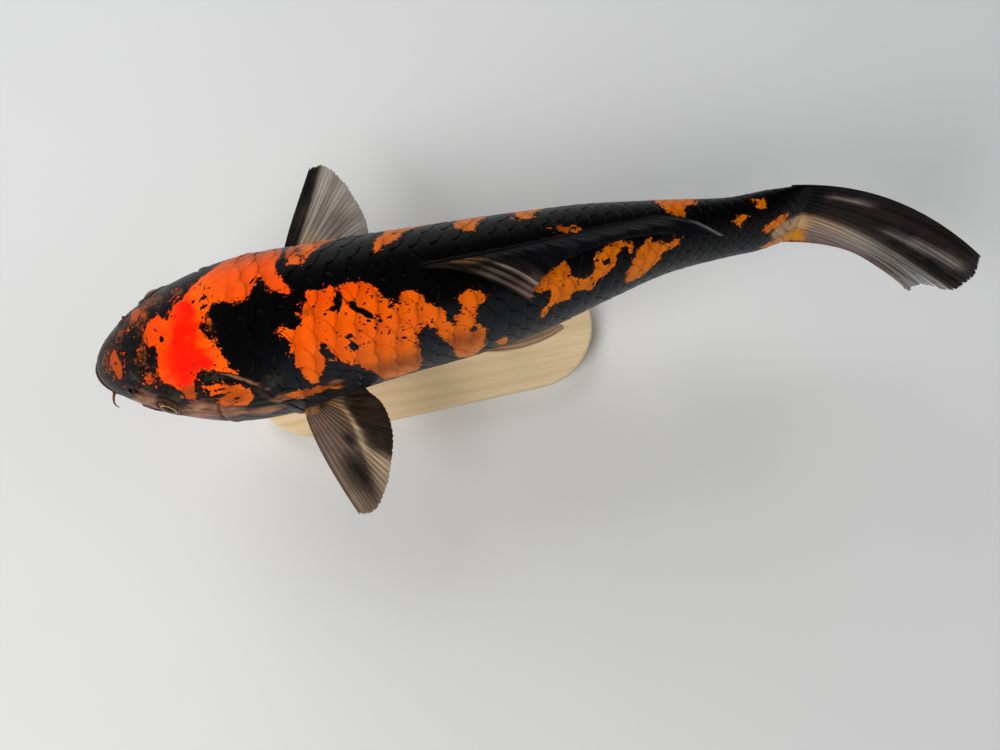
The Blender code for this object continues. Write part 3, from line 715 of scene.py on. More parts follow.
def fin_finish():
    """Thin web and bony rays, each from dark to light, with warm and rosy washes and the body's colours at the root."""
    finish = Finish("koi fin")
    field, mix, noise, step = finish.field, finish.mix, finish.noise, finish.step
    ray, reach, root, brown = field("ray"), field("reach"), field("root"), field("brown")
    cloud = noise(0.010, 3.0)
    shade = step(field("light") + (cloud - 0.5) * 0.30, 0.0, 1.0)
    dark = mix(brown, tint("0b0b0d"), tint("1a110c"))
    web = mix(shade, dark, mix(brown, tint("74767a"), tint("8e7059")))
    bone = mix(shade, mix(brown * 0.6, dark, tint("241c1a")), mix(brown, tint("b4b1a9"), tint("cdb191")))
    colour = mix(step(ray, 0.25, 0.85) * 0.8, web, bone)
    colour = mix(field("rosy") * 0.70, colour, mix(shade, tint("24161a"), tint("a8807e")))
    colour = mix(field("warm"), colour, mix(step(reach, 0.15, 0.60), tint("c2721c"), tint("d2bc8c")))
    onto = step(root + (noise(0.004, 4.0, 0.7) - 0.5) * 0.9, 0.20, 0.80)
    colour = mix(onto, colour, koi_colour(finish))
    joints = step(finish.wave(reach * 230.0), 0.5, 1.0)
    solid = step(ray, 0.2, 0.7) * (1 - step(reach, 0.86, 1.0) * 0.55)
    return finish.surface(
        Base_Color=colour,
        Roughness=0.42 + 0.1 * cloud,
        Specular_IOR_Level=0.10,
        Alpha=1 - field("clear") * (1 - finish.maths("MAXIMUM", solid, root)),
        Normal=finish.bump(joints * ray * 0.6 + noise(0.0012, 3.0) * 0.4, 0.00006),
    )


def eye_finish():
    """Black pupil, a thin gold ring round it, then a brown iris and a dark rim."""
    finish = Finish("koi eye")
    mix, step, ring = finish.mix, finish.step, finish.field("ring")
    streaks = finish.wave(finish.field("fan") * 60.0 + finish.noise(0.001, 2.0) * 6.0)
    gold = step(ring, 0.150, 0.160) * (1 - step(ring, 0.168, 0.180))
    iris = mix(streaks * 0.6, tint("2c1c10"), tint("6e4a1c"))
    iris = mix(step(finish.noise(0.0018, 3.0), 0.5, 0.62), iris, tint("16110e"))
    iris = mix(gold, iris, tint("d69a32"))
    colour = mix(step(ring, 0.142, 0.148), tint("020202"), iris)
    return finish.surface(
        Base_Color=mix(step(ring, 0.235, 0.262), colour, tint("0c0a0a")),
        Roughness=0.22 + 0.1 * finish.noise(0.002),
        Metallic=gold * 0.4,
        Specular_IOR_Level=0.2,
        Coat_Weight=0.08,
        Coat_Roughness=0.06,
    )


def barbel_finish():
    finish = Finish("barbel skin")
    mottled = finish.noise(0.0022, 3.0)
    colour = finish.mix(finish.step(mottled, 0.42, 0.62), tint("8a3c1c"), tint("3a1a12"))
    colour = finish.mix(finish.step(finish.field("reach"), 0.3, 1.0) * 0.6, colour, tint("c88a6a"))
    return finish.surface(
        Base_Color=colour,
        Roughness=0.3 + 0.1 * mottled,
        Specular_IOR_Level=0.4,
        Coat_Weight=0.3,
        Coat_Roughness=0.12,
        Subsurface_Weight=0.1,
        Subsurface_Radius=(0.003, 0.001, 0.0006),
        Subsurface_Scale=1.0,
        Normal=finish.bump(mottled, 0.0002),
    )


def ash_finish():
    finish = Finish("pale ash")
    along = finish.stretched(0.10, 1.0, 0.55)
    lines = finish.node(
        "ShaderNodeTexWave",
        {"wave_type": "BANDS", "bands_direction": "Y", "wave_profile": "SIN"},
        {"Vector": along, "Scale": 34.0, "Distortion": 9.0, "Detail": 3.0, "Detail Scale": 0.7},
        out=1,
    )
    fibres = finish.noise(0.0011, 3.0, 0.6, finish.stretched(0.035, 1.0, 1.0))
    grain = lines * 0.30 + finish.noise(0.050, 2.0, 0.5, along) * 0.45 + fibres * 0.35
    stops = ((0.20, tint("c8ab80")), (0.50, tint("d6be96")), (0.75, tint("dcc6a0")), (0.95, tint("bf9f74")))
    return finish.surface(
        Base_Color=finish.node("ShaderNodeValToRGB", {"stops": stops}, {"Fac": grain}),
        Roughness=0.42 + 0.16 * fibres,
        Specular_IOR_Level=0.3,
        Normal=finish.bump(fibres, 0.00005, finish.bump(lines, 0.00003)),
    )


def steel_finish():
    finish = Finish("brushed steel")
    turned = finish.noise(0.0009, 2.0, 0.6, finish.stretched(0.06, 0.06, 1.0))
    smudge = finish.noise(0.012, 3.0)
    return finish.surface(
        Base_Color=finish.mix(turned, tint("9a9c9e"), tint("c4c6c8")),
        Metallic=1.0,
        Roughness=0.22 + 0.14 * turned + 0.06 * smudge,
        Normal=finish.bump(turned, 0.00002),
    )


def floor_finish():
    """Pale, and lit from within far from the fish, so that it doesn't darken towards the horizon."""
    finish = Finish("pale floor")
    faint = finish.noise(0.25, 3.0)
    away = finish.node("ShaderNodeVectorMath", {"operation": "LENGTH"}, {0: finish.where}, out="Value")
    return finish.surface(
        Base_Color=finish.mix(faint, tint("d3d4d4"), tint("dadbdb")),
        Roughness=0.7,
        Specular_IOR_Level=0.2,
        Emission_Color=finish.mix(finish.step(away, 0.45, 2.1), tint("000000"), tint("b4b6b8")),
        Emission_Strength=1.0,
    )


# ---- meshes


def add_mesh(name, points, faces, material, fields=None, bake_map=None):
    """An object from points and faces, with values on its points and a map for baking, one corner at a time."""
    mesh = bpy.data.meshes.new(name)
    mesh.from_pydata(points.tolist(), [], faces)
    for field, values in (fields or {}).items():
        stored = mesh.attributes.new(field, "FLOAT", "POINT")
        stored.data.foreach_set("value", np.ascontiguousarray(values, np.float32))
    if bake_map is not None:
        layer = mesh.uv_layers.new(name="OFBake")
        corners = np.empty(len(mesh.loops), np.int32)
        mesh.loops.foreach_get("vertex_index", corners)
        layer.data.foreach_set("uv", bake_map[corners].astype(np.float32).ravel())
    mesh.materials.append(material)
    mesh.shade_smooth()
    mesh.update()
    piece = bpy.data.objects.new(name, mesh)
    bpy.context.scene.collection.objects.link(piece)
    return piece


def grid_faces(rows, columns, closed=False):
    """Quads between the points of a grid stored row by row. Closed joins each row's end to its start."""
    i, j = np.meshgrid(np.arange(rows - 1), np.arange(columns if closed else columns - 1), indexing="ij")
    n = (j + 1) % columns
    quads = np.stack([i * columns + j, i * columns + n, (i + 1) * columns + n, (i + 1) * columns + j], axis=-1)
    return quads.reshape(-1, 4)


def grid_rim(rows, columns):
    """The points round the outside of a grid, in order."""
    rim = list(range(columns - 1))
    rim += [i * columns + columns - 1 for i in range(rows - 1)]
    rim += [(rows - 1) * columns + j for j in range(columns - 1, 0, -1)]
    rim += [i * columns for i in range(rows - 1, 0, -1)]
    return rim


def tube_faces(rings, around):
    """The sides of a tube whose rings are stored one after another, and a flat face over each end."""
    last = (rings - 1) * around
    ends = [tuple(range(around - 1, -1, -1)), tuple(range(last, last + around))]
    return grid_faces(rings, around, closed=True).tolist() + ends


def ball_faces(rings, around):
    """The sides of a ball whose rings are stored one after another, then its first pole and its last."""
    first_pole = rings * around
    last = first_pole - around
    faces = grid_faces(rings, around, closed=True).tolist()
    for k in range(around):
        n = (k + 1) % around
        faces.append((n, k, first_pole))
        faces.append((last + k, last + n, first_pole + 1))
    return faces


def circle(around):
    """Angles of points round a circle, in radians."""
    return np.arange(around) * 2 * math.pi / around


def chain_distance(points, chain):
    """How far points lie from a chain of straight lines."""
    best = np.full(points.shape[:-1], np.inf)
    for a, b in zip(chain, chain[1:]):
        edge = b - a
        t = np.clip(((points - a) @ edge) / (edge @ edge), 0, 1)
        best = np.minimum(best, np.linalg.norm(points - a - t[..., None] * edge, axis=-1))
    return best


def roots_on(fin, side=1):
    """Places and angles on the body of a fin's first ray, last ray and some between."""
    return np.array(fin["roots"]) * (1, side)


def root_line(fin, side=1):
    """A chain of points along a fin's root."""
    roots = evenly(roots_on(fin, side), np.linspace(0, 1, 9))
    return metres(body_surface(roots[:, 0], roots[:, 1]))


def mouth_relief(s, points):
    """Two fleshy lips, the slit between them and the fold behind the upper one."""
    level = AXIS_HEIGHT + (MOUTH_LEVEL - math.tan(MOUTH_SLOPE) * s) * BODY_LENGTH
    off = points[..., 2] - level
    share = np.clip((s - MOUTH_FRONT) / (MOUTH_CORNER - MOUTH_FRONT), 0, 1)
    fade = ease((MOUTH_CORNER + 0.006 - s) / 0.012)
    thick = LIP_RADIUS * BODY_LENGTH * (1 - (1 - LIP_TIP_RADIUS) * share)
    lips = np.sqrt(np.clip(thick**2 - (np.abs(off) - 0.75 * thick) ** 2, 0, None))
    slit = 0.0030 * hump(off, 0.00055)
    fold = 0.0009 * hump(off - 2.0 * thick, 0.0009) + 0.0005 * hump(off + 2.0 * thick, 0.0009)
    return fade * (lips - slit - fold)


def eye_relief(points, side):
    """The well under an eye, and the rim of skin round it."""
    place, angle = EYE_AT
    away = np.linalg.norm(points - metres(body_surface(place, side * angle)), axis=-1)
    well = 0.0046 * ease((0.0067 - away) / 0.0017)
    rim = 0.0008 * hump(away - 0.0076, 0.0010)
    crease = 0.0004 * hump(away - 0.0097, 0.0009)
    brow = 0.0010 * hump(away - 0.0090, 0.0040)
    return rim + brow * 0.5 - well - crease


def nostril_relief(s, points, side):
    """A pair of openings before the eye with a flap of skin between them."""
    front, rear = (metres(body_surface(place, side * angle)) for place, angle in NOSTRILS)
    middle = (front + rear) / 2
    ahead = (rear - front) / np.linalg.norm(rear - front)
    along = (points - middle) @ ahead
    away = np.linalg.norm(points - middle, axis=-1)
    across = np.sqrt(np.clip(away**2 - along**2, 0, None))
    small = 0.0020 * ease((0.0017 - np.linalg.norm(points - front, axis=-1)) / 0.0010)
    large = 0.0024 * ease((0.0021 - np.linalg.norm(points - rear, axis=-1)) / 0.0011)
    flap = 0.0015 * hump(along + 0.0002, 0.0008) * hump(across, 0.0021)
    rim = 0.0004 * hump(away - 0.0044, 0.0012)
    return rim + flap - small - large


def gill_relief(s, angle):
    """The lines of the gill cover's plates, its free edge and the slot behind it."""
    turn = np.abs(angle)
    behind = (s - gill_opening(angle)) * BODY_LENGTH
    open_side = ease((turn - 44) / 8) * ease((164 - turn) / 14)
    cover = ease((turn - GILL_COVER_TOP) / 8) * ease((GILL_COVER_BOTTOM - turn) / 8)
    down = np.clip((turn - GILL_COVER_TOP) / (GILL_COVER_BOTTOM - GILL_COVER_TOP), 0, 1)
    bow = np.sqrt(np.clip(1 - (2 * down - 1) ** 2, 0, 1))
    past_front = (s - GILL_COVER_FRONT - GILL_COVER_BOW * (1 - bow)) * BODY_LENGTH
    on_cover = cover * ease(past_front / 0.002) * ease(-behind / 0.001)
    relief = cover * (0.0006 * hump(past_front - 0.0032, 0.0022) - 0.0009 * hump(past_front, 0.0008))
    # The seam over the lower plate, and the faint rays that fan out over the upper one
    seam = (turn - 118 - 9 * (past_front / 0.04)) * HEAD_DEGREE
    relief -= on_cover * 0.0004 * hump(seam, 0.0009)
    fan = np.arctan2((turn - 62) * HEAD_DEGREE, past_front + 0.004)
    relief += on_cover * 0.00010 * np.sin(fan * 38) * ease(past_front / 0.012)
    relief += open_side * 0.0005 * hump(behind + 0.0022, 0.0016)
    in_slot = np.where(behind > 0, ease(1 - behind / 0.0060) * ease(behind / 0.0004), 0)
    relief -= open_side * 0.0022 * in_slot
    # Folds of membrane under the throat
    throat = ease((turn - 146) / 10) * ease((s - 0.085) / 0.03) * ease(-behind / 0.002)
    fold = (turn - 178 + (s - 0.08) * 190) * THROAT_DEGREE
    relief -= throat * 0.0010 * hump(fold, 0.0010)
    relief -= throat * 0.0004 * hump(fold + 0.0042, 0.0008)
    return relief


def slender_coat(s):
    """The coat's depth as a share of its full depth: less on the slender tail."""
    return 0.70 + 0.30 * ease((0.95 - s) / 0.35)


def coat_depth(s, angle):
    """How far the skin lies under the scales: nothing on the head."""
    behind = (s - gill_opening(angle)) * BODY_LENGTH
    return COAT_DEPTH * slender_coat(s) * ease(behind / 0.0012)


def skin_height(s, angle):
    """The skin's height over the solids' surface, in metres."""
    points = metres(body_surface(s, angle))
    height = -coat_depth(s, angle) + gill_relief(s, angle)
    front, middle, rear = s < 0.075, (s > 0.2) & (s < 0.62), s > 0.4
    height[front] += mouth_relief(s[front], points[front])
    swellings = [(rear, DORSAL, 1, 0.0013, 0.0026), (rear, ANAL, 1, 0.0014, 0.0028)]
    for side in SIDES.values():
        facing = (s < 0.16) & (np.sign(angle) == side)
        height[facing] += eye_relief(points[facing], side)
        height[facing] += nostril_relief(s[facing], points[facing], side)
        swellings += [(middle, PECTORAL, side, 0.0024, 0.0046), (middle, PELVIC, side, 0.0020, 0.0036)]
    for there, fin, side, swelling, reach in swellings:
        height[there] += swelling * hump(chain_distance(points[there], root_line(fin, side)), reach)
    return height


def tail_fold(last, angles):
    """Rings of skin that close in from its last full ring on the tail fin's middle surface."""
    top, bottom = TAIL["roots"][0][2], TAIL["roots"][-1][2]
    share = np.clip((top - body_surface(1.0, angles)[:, 2]) / (top - bottom), 0, 1)
    root = fin_points(TAIL, share, np.zeros(share.shape))
    rings = []
    for reach in (0.008, 0.016, 0.025, 0.035, 0.046, 0.058):
        left = 0.06 + 0.94 * (1 - reach / 0.060) ** 0.8
        rings.append(fin_points(TAIL, share, np.full(share.shape, reach)) + (last - root) * left)
    return np.array(rings)


def add_skin(material):
    """One skin over head, gill covers, jaw, trunk and tail stalk. It ends as a thin fold over the tail rays' roots."""
    angles = np.arange(ROUND_SKIN) * 360 / ROUND_SKIN - 180
    border = gill_opening(angles)
    head = (np.arange(1, HEAD_RINGS + 1) / HEAD_RINGS)[:, None] ** 1.6 * border
    trunk = border + (1 - border) * (np.arange(1, TRUNK_RINGS + 1) / TRUNK_RINGS)[:, None] ** 1.4
    s = np.concatenate([head, trunk])
    angle = np.broadcast_to(angles, s.shape)
    points = metres(body_surface(s, angle)) + body_normal(s, angle) * skin_height(s, angle)[..., None]
    fold = tail_fold(points[-1], angles)
    points = np.concatenate([points, fold])
    s = np.concatenate([s, np.ones((len(fold), ROUND_SKIN))])
    angle = np.broadcast_to(angles, s.shape)
    # The last two points are the poles, on the snout and inside the tail.
    fields = markings(np.append(s, (0.0, 1.0)), np.append(FLAT.round(s, angle), (0.0, 0.0)))
    # How far the head's skin rises or sinks: it sets painted light on its ridges and painted shade in its creases
    relief = (skin_height(s, angle) + coat_depth(s, angle)) * ease((0.30 - s) / 0.03)
    fields["ridge"] = np.append(ease(relief / 0.0010), (0.0, 0.0))
    fields["crease"] = np.append(ease(-relief / 0.0007), (0.0, 0.0))
    rings = len(points)
    map_u = np.broadcast_to((np.arange(rings) / (rings - 1))[:, None], s.shape)
    map_v = np.broadcast_to((angles + 180) / 360, s.shape)
    bake_map = np.concatenate([np.stack([map_u, map_v], axis=-1).reshape(-1, 2), [(0, 0.5), (1, 0.5)]])
    snout = metres(body_surface(0.0, 0.0))
    points = np.concatenate([points.reshape(-1, 3), [snout, points[-1].mean(axis=0)]])
    faces = [face[::-1] for face in ball_faces(rings, ROUND_SKIN)]
    return add_mesh("skin", points, faces, material, fields, bake_map * 0.996 + 0.002)


# ---- scales


def scale_shape():
    """One scale's outline as a rounded square grid: back and across, from -1 to 1, the free edge at 1."""
    line = np.linspace(-1, 1, GRID + 1)
    u, v = np.meshgrid(line, line, indexing="ij")
    back = u * np.sqrt(1 - v * v / 2)
    across = v * np.sqrt(1 - u * u / 2)
    return back.ravel(), across.ravel()


def scale_columns():
    """Places of the scales along the lateral line, closer together towards the slender tail."""
    places = np.linspace(0.262, COAT_END, 400)
    spacing = 0.30 + 0.70 * FLAT.half(places) / FLAT.half(np.array([0.42]))[0]
    count = np.concatenate([[0], np.cumsum(np.diff(places) / spacing[1:])])
    count *= SCALE_COLUMNS / count[-1]
    return np.interp(np.arange(0, 2 * SCALE_COLUMNS + 1) / 2, count, places)


def free_of_fins(s, angle):
    """False where a scale would stand in the root of a fin."""
    point = metres(body_surface(s, angle))[None]
    for side in SIDES.values():
        for fin, clear in ((PECTORAL, 0.0050), (PELVIC, 0.0036)):
            if chain_distance(point, root_line(fin, side))[0] < clear:
                return False
    on_back = abs(angle) < 3 and DORSAL["roots"][0][0] - 0.004 < s < DORSAL["roots"][-1][0]
    below = abs(angle) > 177 and ANAL["roots"][0][0] - 0.006 < s < ANAL["roots"][-1][0]
    return not (on_back or below)


def scale_places(rng):
    """Middle, size and character of every scale."""
    columns = scale_columns()
    first = columns[0]
    found = []
    for row in range(-SCALE_ROWS // 2 + 1, SCALE_ROWS // 2 + 1):
        for column in range(row % 2, 2 * SCALE_COLUMNS, 2):
            jitter = rng.normal(size=5)
            share = row / (SCALE_ROWS / 2)
            start = columns[column:column + 1]
            for _ in range(3):
                angle = FLAT.angle(start, share * FLAT.half(start))
                border = gill_opening(angle) - 0.006
                start = border + (columns[column] - first) * (COAT_END - border) / (COAT_END - first)
            s, turn = float(start[0]), float(angle[0])
            if not free_of_fins(s, turn):
                continue
            near = column if column + 2 < len(columns) else column - 2
            pitch = columns[near + 2] - columns[near]
            spacing = 2 * float(FLAT.half(start)[0]) / SCALE_ROWS
            found.append((row, column, s, share, pitch, spacing, *jitter))
    return np.array(found)


def plate_faces(count, rim):
    """Faces of thin plates whose points are an upper face's grid, then the rim of its underside."""
    n = (GRID + 1) ** 2
    below = range(n, n + len(rim))
    plate = grid_faces(GRID + 1, GRID + 1)[:, ::-1].tolist()
    plate += [(b, d, c, a) for a, b, c, d in zip(rim, rim[1:] + rim[:1], below, [*below[1:], n])]
    plate.append(below)
    return [tuple(v + k * (n + len(rim)) for v in face) for k in range(count) for face in plate]


def scale_cells(row, column, along, across, rim):
    """Each scale's own cell of the map: its face fills most of it, and its underside a strip at the end."""
    cell_u = 1 / (SCALE_COLUMNS + 1)
    cell_v = 1 / (SCALE_ROWS / 2 + 1)
    start_u, start_v = column / 2 * cell_u, np.abs(row) * cell_v
    face_u = start_u + cell_u * (0.04 + 0.70 * along)
    face_v = start_v + cell_v * (0.06 + 0.88 * (across + 1) / 2)
    under_u = start_u + cell_u * (0.80 + 0.14 * along)
    map_u = np.concatenate([face_u, under_u[:, rim]], axis=1)
    map_v = np.concatenate([face_v, face_v[:, rim]], axis=1)
    return np.stack([map_u.ravel(), map_v.ravel()], axis=-1)


def add_scales(name, side, places, material):
    """All the scales of one side, as thin closed plates in one mesh."""
    mine = places[(places[:, 0] > 0) == (side > 0)]
    row, column, s0, share, pitch, spacing, j1, j2, j3, j4, j5 = mine.T[:, :, None]
    back, across = scale_shape()
    length = pitch * SCALE_LENGTH * (1 + SCALE_VARIES[0] * np.clip(j1, -2, 2)) / 2
    width = spacing * SCALE_WIDTH * (1 + SCALE_VARIES[1] * np.clip(j2, -2, 2)) / 2
    turn = SCALE_TURNS * j3
    # The free edge bows out a little more than the root.
    bowed = across * (1 - 0.10 * np.clip(-back, 0, 1))
    s = s0 + back * length * np.cos(turn) - bowed * width * np.sin(turn) + SCALE_STRAYS * np.clip(j4, -1.5, 1.5)
    s = np.minimum(s, 0.9995)
    w = share * FLAT.half(s) + back * length * np.sin(turn) + bowed * width * np.cos(turn)
    angle = FLAT.angle(s, w)

    along = (back + 1) / 2
    from_edge = 1 - np.sqrt(np.clip(back**2 + across**2, 0, 1))
    canal_row = (np.abs(np.abs(row) - LATERAL_LINE) < 0.6) & (np.abs(row) < LATERAL_LINE)
    tube = canal_row * hump(across, 0.085) * ease((along - 0.35) / 0.2) * ease((0.86 - along) / 0.1)
    depth = COAT_DEPTH * slender_coat(s0) - 0.00010
    crown = 0.00004 * (1 - across**2) * ease(along)
    top = -depth * (1 - along) ** 1.5 + crown + 0.00014 * tube + 0.00003 * j5
    bottom = top - SCALE_THICKNESS * (0.45 + 0.55 * ease(from_edge / 0.10)) - 0.00002
    surface, normal = metres(body_surface(s, angle)), body_normal(s, angle)
    rim = grid_rim(GRID + 1, GRID + 1)
    under = (surface + normal * bottom[..., None])[:, rim]
    points = np.concatenate([surface + normal * top[..., None], under], axis=1).reshape(-1, 3)

    def spread(values):
        values = np.broadcast_to(values, s.shape)
        return np.concatenate([values, values[:, rim]], axis=1).ravel()

    fields = markings(s, w)
    fields["tone"] = np.random.default_rng(TONE_SEED).random(s0.shape)
    # How near the free edge a point lies; it sets the painted shade towards each scale's root
    fields["lip"] = along * (1 - 0.25 * np.abs(across)) + 0.25 * ease(1 - from_edge / 0.15) * along
    fields["fan"] = np.arctan2(across, back + 0.75)
    fields["ring"] = np.hypot(across, back + 0.55)
    fields["canal"] = tube * ease((along - 0.66) / 0.05)
    fields = {name: spread(values) for name, values in fields.items()}
    bake_map = scale_cells(row, column, along, across, rim)
    return add_mesh(name, points, plate_faces(len(mine), rim), material, fields, bake_map)


# ---- fins


def evenly(points, shares):
    return curve_through(np.linspace(0, 1, len(points)), points, shares)


def fin_points(fin, spread, reach):
    """Points of a fin's middle surface in metres: spread runs across its rays, reach along them."""
    root, bend, tip = (evenly(fin[key], spread) for key in ("roots", "bends", "tips"))
    t = np.asarray(reach)[..., None]
    return metres((1 - t) ** 2 * root + 2 * t * (1 - t) * bend + t * t * tip)


def placed_fin(fin, side=1, sweep=0.0):
    """The fin's lines in space, mirrored to its side and swept back."""
    places, angles = roots_on(fin, side).T
    turn = (1, side, 1)
    return {
        "roots": body_surface(places, angles) + body_normal(places, angles) * FIN_CLEAR,
        "bends": np.array(fin["bends"]) * turn + (sweep / 2, 0, 0),
        "tips": np.array(fin["tips"]) * turn + (sweep, 0, 0),
    }


def ray_height(spread, reach, rays, plain):
    """1 on the rays and 0 on the web between them. All but the first few rays fork twice on their way out."""
    across = spread * (rays - 1)
    nearest = np.round(across)
    off = across - nearest
    forks = (nearest >= plain).astype(float)
    first = forks * 0.23 * ease((reach - 0.30) / 0.6)
    second = forks * 0.10 * ease((reach - 0.62) / 0.4)
    width = 0.17 - 0.09 * ease(reach)
    width = np.where(nearest < plain, width * 1.25, width)
    height = np.zeros(np.broadcast(spread, reach).shape)
    for a in (-1, 1):
        for b in (-1, 1):
            height = np.maximum(height, hump(off - a * first - b * second, width))
    return height


def add_fin(name, fin, material, rays, paint, base_of, start=0.0, end=1.0, rows=44, plain=1, inward=0.05,
            ripple=0.0005, thick=0.00046, ragged=0.03, fleshy=0.12, crowd=0.0, seed=1):
    """A fin as one closed sheet: bony rays that stand out on both faces, and thin web between them.

    It covers the fin from start to end across its rays, and goes on inward into the body. The first rays, as many as
    plain says, don't fork. Ripple and thick are in metres. Ragged is how unevenly the edge is drawn back, fleshy how
    far the body's colours reach out, and crowd how much the rays lean towards one edge.
    """
    columns = (rays - 1) * 10 + 1
    spread = np.linspace(0, 1, columns)[:, None] * np.ones((1, rows))
    reach = np.linspace(-inward, 1, rows)[None, :] * np.ones((columns, 1))
    rng = np.random.default_rng(seed)
    bones = ray_height(spread, np.clip(reach, 0, 1), rays, plain)
    # The web draws back between the ray tips, unevenly.
    tips = np.interp(spread[:, 0] * (rays - 1), np.arange(rays), 1 - ragged * 0.6 * rng.random(rays))
    notch = 1 - ragged * (1 - bones[:, -1]) * (0.6 + 0.8 * rng.random(columns))
    reach = np.where(reach > 0, reach * (tips * notch)[:, None], reach)
    t = np.clip(reach, 0, 1)
    # Rays may crowd towards one edge on their way out.
    share = spread if crowd >= 0 else 1 - spread
    share = share ** (1 + abs(crowd) * t**2)
    share = share if crowd >= 0 else 1 - share
    whole = start + (end - start) * share
    middle = fin_points(fin, whole, reach)
    normal = np.cross(np.gradient(middle, axis=0), np.gradient(middle, axis=1))
    normal /= np.linalg.norm(normal, axis=-1, keepdims=True)
    pleats = np.sin(spread * (rays - 1) * math.pi + 0.7)
    wave = (pleats + 1.6 * np.sin(spread * 7 + t * 5 + seed)) * ease(t) * ripple
    middle = middle + normal * wave[..., None]
    leading = 1 + 0.5 * hump(spread * (rays - 1), 0.6)
    half = thick * leading * (1 - 0.72 * ease(t * 1.05)) * bones + 0.00010 - 0.00004 * t
    half = half + 0.0004 * ease(1 - (reach + inward) / (inward + 0.10)) * (1 - bones)
    faces_apart = normal * half[..., None]
    points = np.concatenate([(middle + faces_apart).reshape(-1, 3), (middle - faces_apart).reshape(-1, 3)])
    n = columns * rows
    upper = grid_faces(columns, rows)
    rim = grid_rim(columns, rows)
    edge = [(a, b, b + n, a + n) for a, b in zip(rim, rim[1:] + rim[:1])]
    faces = upper[:, ::-1].tolist() + (upper + n).tolist() + edge

    fields = {"ray": bones, "reach": t, "root": 1 - ease((t - 0.01) / fleshy), **paint(whole, t)}
    fields = {key: np.clip(np.broadcast_to(values, t.shape), 0, 1) for key, values in fields.items()}
    fields.update(markings(*base_of(whole)))
    fields = {key: np.tile(values.ravel(), 2) for key, values in fields.items()}
    map_u = np.linspace(0.01, 0.47, columns)[:, None] * np.ones((1, rows))
    map_v = np.linspace(0.01, 0.99, rows)[None, :] * np.ones((columns, 1))
    one_face = np.stack([map_u.ravel(), map_v.ravel()], axis=-1)
    return add_mesh(name, points, faces, material, fields, np.concatenate([one_face, one_face + (0.51, 0)]))


def paint_left_pectoral(x, t):
    """Brown, with one bright ray that turns from orange to white, and dark blotches."""
    middle = 0.42 + 0.38 * ease((0.78 - t) / 0.60) - 0.07 * ease((0.30 - t) / 0.25)
    streak = hump(x - middle, 0.032 + 0.055 * ease((t - 0.65) / 0.3))
    outer = hump(np.hypot((x - 0.27) / 0.16, (t - 0.76) / 0.19), 1)
    blotch = np.maximum(outer, hump(np.hypot(x - 0.41, t - 0.5), 0.08))
    rear = ease((x - middle - 0.04) / 0.10) * ease((t - 0.25) / 0.2)
    light = 0.50 - 0.42 * blotch - 0.40 * rear + 0.14 * hump(x - 0.11, 0.03) * ease((t - 0.4) / 0.2)
    light = light + 0.75 * streak * ease((t - 0.05) / 0.15)
    warm = streak * (1 - ease((t - 0.48) / 0.30)) * ease((t - 0.02) / 0.06)
    rosy = 0.5 * ease((0.45 - t) / 0.3) * ease((middle - x) / 0.1) + 0.6 * hump(x - 0.20, 0.07) * ease((0.7 - t) / 0.2)
    return {"light": light, "warm": 0.9 * warm, "rosy": rosy * (1 - warm), "clear": 0.14 + 0.10 * light, "brown": 0.9}


def paint_right_pectoral(x, t):
    """Pale and clear behind a dark leading band, with faint smudges further out."""
    band = ease((0.30 - 0.10 * t - x) / 0.09)
    smudge = 0.35 * hump(np.hypot((x - 0.52) / 0.10, (t - 0.72) / 0.22), 1)
    smudge = smudge + 0.25 * hump(x - 0.40 + 0.1 * t, 0.05) * ease((t - 0.3) / 0.2)
    light = 0.08 + (0.80 - smudge) * (1 - band) * ease((t - 0.10) / 0.2)
    warm = 0.45 * ease((0.60 - t) / 0.25) * (1 - band) * ease((0.75 - x) / 0.3)
    clear = 0.08 + (0.16 + 0.22 * ease((t - 0.60) / 0.3) - 0.2 * smudge) * (1 - band)
    return {"light": light, "warm": warm, "rosy": 0.25 * band + 0.5 * smudge, "clear": clear, "brown": 0.4}


def paint_dorsal(x, t):
    """Black, but for the front rays and the last one, which pale outwards."""
    front = 1 - ease((x - 0.18) / 0.09)
    rays = hump(x - 0.03, 0.016) + hump(x - 0.085, 0.016) + hump(x - 0.155, 0.016)
    light = front * (0.06 + 0.42 * rays) * ease((t - 0.30) / 0.3) + 0.14 * front * ease((t - 0.75) / 0.2)
    light = light + 0.45 * hump(x - 0.985, 0.014) * ease((t - 0.25) / 0.3)
    warm = 0.30 * front * ease((0.42 - t) / 0.22) * (hump(x - 0.10, 0.02) + hump(x - 0.155, 0.015))
    rosy = 0.6 * front * ease((t - 0.6) / 0.3)
    return {"light": light, "warm": warm, "rosy": rosy, "clear": 0.06 + 0.16 * front, "brown": 0.5 * front}


